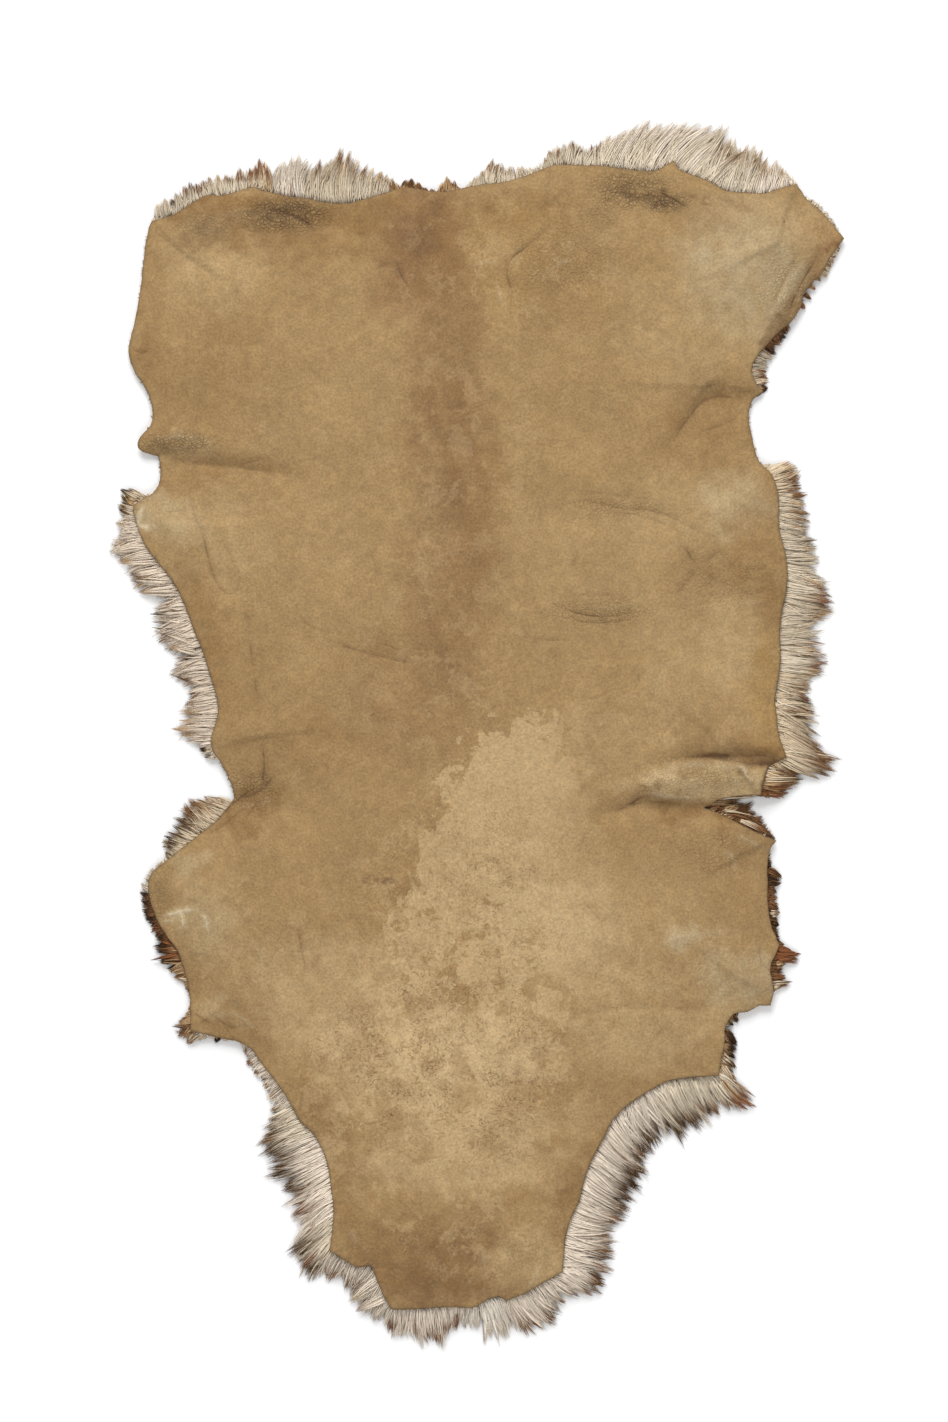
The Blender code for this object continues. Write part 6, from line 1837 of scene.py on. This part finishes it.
def hide_leather():
    """Tanned hide, flesh side, scraped and buffed: matt, with a fine nap, rubbed pale by handling."""
    material, tree, shader = material_base("tanned_hide_flesh_side", Roughness=0.82, IOR=1.45)
    shader.inputs["Specular IOR Level"].default_value = 0.28
    shader.inputs["Sheen Weight"].default_value = 0.10
    shader.inputs["Sheen Roughness"].default_value = 0.45
    place = add_node(tree, "TexCoord").outputs["Object"]
    tone = add_node(tree, "Attribute", [("attribute_name", "tone")]).outputs["Color"]
    rubbed, rubbed_share, mottle, pebble, crease = [
        add_node(tree, "Attribute", [("attribute_name", name)]).outputs["Fac"]
        for name in ("rubbed", "rubbed_share", "mottle", "pebble", "crease")]
    columns = ("Scale", "Detail", "Roughness", "Distortion")
    noise = {name: add_node(tree, "TexNoise", zip(columns, row), [("Vector", place)]).outputs["Fac"]
             for name, row in LEATHER_NOISE.items()}

    # The outline of the rubbed patch wanders, the veins are where their noise passes its middle, and they
    # gather in clusters.
    shift = add_node(tree, "MapRange", [("From Min", 0.3), ("From Max", 0.7), ("To Min", -24.0),
                                        ("To Max", 24.0), ("clamp", False)],
                     [("Value", noise["wander"])]).outputs[0]
    depth = add_node(tree, "Math", [("operation", "ADD")], [(0, rubbed), (1, shift)]).outputs[0]
    off_middle = add_node(tree, "Math", [("operation", "SUBTRACT"), (1, 0.5)],
                          [(0, noise["vein"])]).outputs[0]
    vein_gap = add_node(tree, "Math", [("operation", "ABSOLUTE")], [(0, off_middle)]).outputs[0]
    cluster = add_node(tree, "MapRange", [("From Min", 0.46), ("From Max", 0.54)],
                       [("Value", noise["cluster"])]).outputs[0]
    vein_place = add_node(tree, "Math", [("operation", "MULTIPLY")], [(0, cluster), (1, mottle)]).outputs[0]

    # Each row lays a paint over the last: (pattern, value where it starts, value where it is in full, its
    # greatest share, where on the hide, paint). They are the rubbed patch, pale and dark marbling, specks,
    # veins, and the painted shade line in the middle of a crease, which has a place of its own.
    colour = tone
    for pattern, starts, full, greatest, where, paint in (
            (depth, -1.2, 1.8, 1.0, rubbed_share, "straw"),
            (noise["marble"], 0.525, 0.555, 0.52, mottle, "straw"),
            (noise["marble"], 0.462, 0.430, 0.30, mottle, "brown"),
            (noise["speck"], 0.44, 0.38, 0.55, mottle, "brown"),
            (vein_gap, 0.020, 0.003, 0.85, vein_place, "umber"),
            (crease, 0.30, 0.95, 0.75, None, "umber")):
        share = add_node(tree, "MapRange", [("From Min", starts), ("From Max", full), ("To Max", greatest)],
                         [("Value", pattern)]).outputs[0]
        if where:
            share = add_node(tree, "Math", [("operation", "MULTIPLY")], [(0, share), (1, where)]).outputs[0]
        colour = add_node(tree, "Mix", [("data_type", "RGBA"), (7, (*linear(paint), 1.0))],
                          [(0, share), (6, colour)]).outputs[2]

    # The nap shades the colour, and the haze softly.
    gains = [add_node(tree, "MapRange", [("From Min", 0.34), ("From Max", 0.66), ("To Min", 1.0 - swing),
                                         ("To Max", 1.0 + swing)], [("Value", noise[name])]).outputs[0]
             for name, swing in (("nap", 0.16), ("haze", 0.05))]
    both = add_node(tree, "Math", [("operation", "MULTIPLY")], [(0, gains[0]), (1, gains[1])]).outputs[0]

    # Pebbled grain of some 3 mm where it stands up, with painted shade in its grooves that is stronger here
    # and there.
    warp = add_node(tree, "TexNoise", [("Scale", 160.0), ("Detail", 3.0)], [("Vector", place)])
    warped = add_node(tree, "VectorMath", [("operation", "MULTIPLY_ADD"), (1, (0.007, 0.007, 0.0))],
                      [(0, warp.outputs["Color"]), (2, place)]).outputs[0]
    cells = add_node(tree, "TexVoronoi", [("feature", "DISTANCE_TO_EDGE"), ("Scale", 310.0)],
                     [("Vector", warped)]).outputs["Distance"]
    groove_shade_strength = add_node(tree, "MapRange", [("From Min", 0.38), ("From Max", 0.62), ("To Min", 0.05),
                                               ("To Max", 0.62)], [("Value", noise["haze"])]).outputs[0]
    groove_shade = add_node(tree, "MapRange", [("From Min", 0.20), ("From Max", 0.02)],
                      [("Value", cells), ("To Max", groove_shade_strength)]).outputs[0]
    groove_shade_here = add_node(tree, "Math", [("operation", "MULTIPLY")], [(0, groove_shade), (1, pebble)]).outputs[0]
    groove_unshaded = add_node(tree, "Math", [("operation", "SUBTRACT"), (0, 1.0)], [(1, groove_shade_here)]).outputs[0]
    gain = add_node(tree, "Math", [("operation", "MULTIPLY")], [(0, both), (1, groove_unshaded)]).outputs[0]
    final = add_node(tree, "VectorMath", [("operation", "SCALE")], [(0, colour), ("Scale", gain)]).outputs[0]
    tree.links.new(final, shader.inputs["Base Color"])

    # Relief: the pebbles, the small folds and the nap.
    dome = add_node(tree, "Math", [("operation", "MINIMUM"), (1, 0.3)], [(0, cells)]).outputs[0]
    pebbles = add_node(tree, "Math", [("operation", "MULTIPLY")], [(0, dome), (1, pebble)]).outputs[0]
    normal = add_node(tree, "Bump", [("Strength", 1.0), ("Distance", 0.0045)],
                      [("Height", pebbles)]).outputs["Normal"]
    for name, strength, distance in (("rumple", 0.5, 0.0013), ("nap", 0.45, 0.0006)):
        normal = add_node(tree, "Bump", [("Strength", strength), ("Distance", distance)],
                          [("Height", noise[name]), ("Normal", normal)]).outputs["Normal"]
    tree.links.new(normal, shader.inputs["Normal"])
    return material


def sheep_hair(name, gain):
    """Sheep's guard hair, washed and dry: cream with brown tips and a low silky gloss along it."""
    material, tree, shader = material_base(name, Roughness=0.62, IOR=1.5)
    shader.inputs["Specular IOR Level"].default_value = 0.12
    place = add_node(tree, "TexCoord").outputs["Object"]
    tone = add_node(tree, "Attribute", [("attribute_name", "tone")]).outputs["Color"]
    streak = add_node(tree, "TexNoise", [("Scale", 420.0), ("Detail", 2.0)],
                      [("Vector", place)]).outputs["Fac"]
    streak_gain = add_node(tree, "MapRange", [("From Min", 0.3), ("From Max", 0.7), ("To Min", gain * 0.93),
                                              ("To Max", gain * 1.07)], [("Value", streak)]).outputs[0]
    final = add_node(tree, "VectorMath", [("operation", "SCALE")],
                     [(0, tone), ("Scale", streak_gain)]).outputs[0]
    tree.links.new(final, shader.inputs["Base Color"])
    fuzz = add_node(tree, "Bump", [("Strength", 0.25), ("Distance", 0.0006)],
                    [("Height", streak)]).outputs["Normal"]
    tree.links.new(fuzz, shader.inputs["Normal"])
    return material


def studio_floor():
    """Matt white backdrop paper, seamless and plain."""
    material, tree, shader = material_base("white_backdrop_paper", Roughness=0.9)
    shader.inputs["Specular IOR Level"].default_value = 0.1
    shader.inputs["Base Color"].default_value = (0.95, 0.95, 0.95, 1.0)
    shape = bmesh.new()
    bmesh.ops.create_grid(shape, x_segments=1, y_segments=1, size=40.0)
    mesh = bpy.data.meshes.new("floor")
    shape.to_mesh(mesh)
    shape.free()
    mesh.materials.append(material)
    floor = bpy.data.objects.new("floor", mesh)
    bpy.context.scene.collection.objects.link(floor)
    return floor


def add_light(name, place, size, power):
    """Square soft light that faces the middle of the hide."""
    lamp = bpy.data.lights.new(name, "AREA")
    lamp.shape = "SQUARE"
    lamp.size = size
    lamp.energy = power
    light = bpy.data.objects.new(name, lamp)
    light.location = place
    light.rotation_euler = (-Vector(place)).to_track_quat("-Z", "Y").to_euler()
    bpy.context.scene.collection.objects.link(light)
    return light


# The camera looks straight down from high up, so that the view is nearly without perspective.
FRAME_PIXELS = (948, 1422)
CAMERA_HEIGHT = 8.0
SENSOR = 36.0
scene = bpy.context.scene
frame_middle = on_floor(FRAME_PIXELS[0] / 2.0, FRAME_PIXELS[1] / 2.0) * MM
camera_data = bpy.data.cameras.new("camera")
camera_data.sensor_width = SENSOR
camera_data.lens = SENSOR * (CAMERA_HEIGHT - 0.018) / (FRAME_PIXELS[1] * SQUARE * MM)
camera = bpy.data.objects.new("camera", camera_data)
camera.location = (frame_middle[0], frame_middle[1], CAMERA_HEIGHT)
scene.collection.objects.link(camera)
scene.camera = camera

edge, hair = cut_edge(COARSE)

leather = make_leather(edge, hair)
coat = make_coat(edge, hair)
table, ring, length = rim_hairs(edge, hair)
quarter = np.quantile(table["station"], (0.25, 0.5, 0.75))
stretch_of = np.searchsorted(quarter, table["station"])
rim_names = ("rump_hair", "right_flank_hair", "neck_hair", "left_flank_hair")
rim_pieces = [make_rim_hair(table, name, stretch_of == k) for k, name in enumerate(rim_names)]
tufts = set_tufts(edge, hair)
rim_pieces.append(make_rim_hair(tufts, "marked_tufts", np.ones(len(tufts["root"]), dtype=bool)))
tucked = make_tucked_hair(edge, hair, ring, length)
under = make_under_hair(edge)

leather.data.materials.append(hide_leather())
rim_material = sheep_hair("sheep_guard_hair", 0.97)
coat_material = sheep_hair("sheep_under_coat", 0.9)
for piece in rim_pieces:
    piece.data.materials.append(rim_material)
for piece in (coat, tucked, under):
    piece.data.materials.append(coat_material)

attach(leather, "root")
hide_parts("skin")
for piece in rim_pieces + [coat, tucked, under]:
    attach(piece, "root")
    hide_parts("fleece")

studio_floor()
add_light("key", (-0.6, 4.2, 3.1), 3.0, 245.0)
add_light("fill", (0.7, -3.2, 3.4), 3.0, 62.0)
world = bpy.data.worlds.new("studio")
world.use_nodes = True
world.node_tree.nodes["Background"].inputs["Color"].default_value = (1.0, 1.0, 1.0, 1.0)
world.node_tree.nodes["Background"].inputs["Strength"].default_value = 0.53
scene.world = world
scene.view_settings.view_transform = "Standard"
